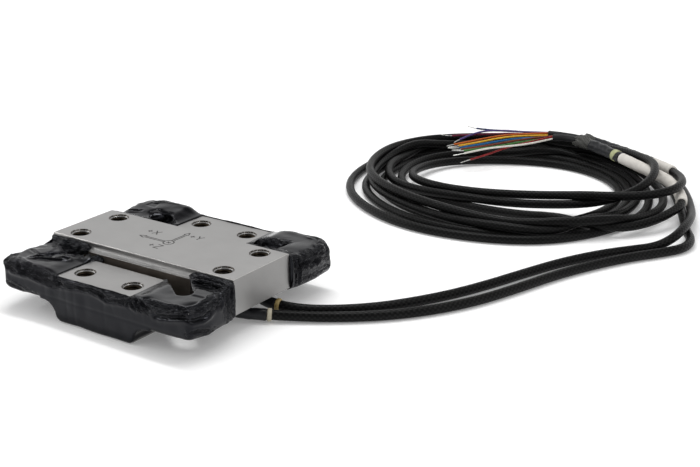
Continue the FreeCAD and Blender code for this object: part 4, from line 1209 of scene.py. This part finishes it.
def coveGrid(side, plan):
    # profile carried along x: a quarter round from the bar's face, a narrow flat to the edge, then down
    # the slot's wall
    a = np.linspace(0, np.pi / 2, plan["arc"])
    y, z = plan["edge"]
    radius, broken, bottom = plan["radius"], plan["broken"], plan["bottom"]
    inside = plan["face"] - plan["sunk"]
    curve = np.stack([plan["face"] + radius - radius * np.cos(a), z + radius - radius * np.sin(a)], 1)
    rest = [(y - broken, z), (y, z - broken), (y, bottom), (inside, bottom), (inside, z + radius)]
    across, height = np.vstack([curve, rest]).T
    x = np.linspace(-1, 1, plan["rows"])[:, None] * plan["halfLength"] * side
    return np.stack([x + 0 * across, side * across + 0 * x, height + 0 * x], -1) * mm


coves = [gridParts(coveGrid(side, covePlan), loop=True, caps=True) for side in (-1, 1)]
placePiece("cove_strips", meshOf("cove", coves, smooth=False), "steel")

# the axis sign in plan: half of an arrow's outline, and each letter's place, half size and lines
triadPlan = {
    "face": 36.0, "halfLine": 0.42, "proud": 0.03, "step": 0.5, "sides": 8, "circle": 3.4, "cross": 1.1,
    "circlePoints": 33, "arrow": [(3.3, 0.75), (19.5, 0.75), (19.5, 1.8), (24, 0)], "shorter": 0.85,
    "half": (2.1, 2.8), "spacing": 2.6,
    "words": [("+X", (-23.5, 9.5)), ("+Y", (5.5, 16.5)), ("+Z", (-6, -9))],
    "X": [[(-1, -1), (1, 1)], [(-1, 1), (1, -1)]], "Y": [[(-1, 1), (0, 0)], [(1, 1), (0, 0), (0, -1)]],
    "Z": [[(-1, 1), (1, 1), (-1, -1), (1, -1)]], "+": [[(-0.8, 0), (0.8, 0)], [(0, -0.6), (0, 0.6)]]}


def triadLines(plan):  # circle and cross for Z, an outlined arrow each for X and Y, letters
    a = np.linspace(0, fullTurn, plan["circlePoints"])
    lines = [plan["circle"] * np.stack([np.cos(a), np.sin(a)], 1)]
    lines += [plan["cross"] * np.array(line) for line in plan["X"]]
    half = np.array(plan["arrow"])
    arrow = np.vstack([half * (1, -1), half[-2::-1]])
    lines += [arrow * (-1, 1), arrow[:, ::-1] * (-1, plan["shorter"])]
    width, height = plan["half"]
    for word, (x, y) in plan["words"]:
        for k, letter in enumerate(word):
            place = (x + k * plan["spacing"] * width, y)
            lines += [np.array(line) * (width, height) + place for line in plan[letter]]
    return lines


def strokeGrid(line, plan):
    # low round-topped ridge on the bar's top: an oval of half the line's width and a little height along it
    path = evenly(np.column_stack([line, np.full(len(line), plan["face"])]), plan["step"])
    return ovalAlong(path, plan["halfLine"], plan["proud"], plan["sides"]) * mm


strokes = [gridParts(strokeGrid(line, triadPlan), loop=True, caps=True) for line in triadLines(triadPlan)]
placePiece("axis_triad", meshOf("triad", strokes), "engraving", slot="steel")
print("threads, cove and axis sign cut")


# finishes of the CAD nodes that stay, by the start of their names
nodeFinishes = {"sensor_body": "steel", "gauges": "gauge_foil", "solder": "copper",
                "cross_lead": "lead_ribbon", "lead_bundle": "lead_ribbon"}
for name, node in nodes.items():
    if not node.hide_render:
        finish = next(finish for start, finish in nodeFinishes.items() if name.startswith(start))
        setFinish(node, finishes[finish])
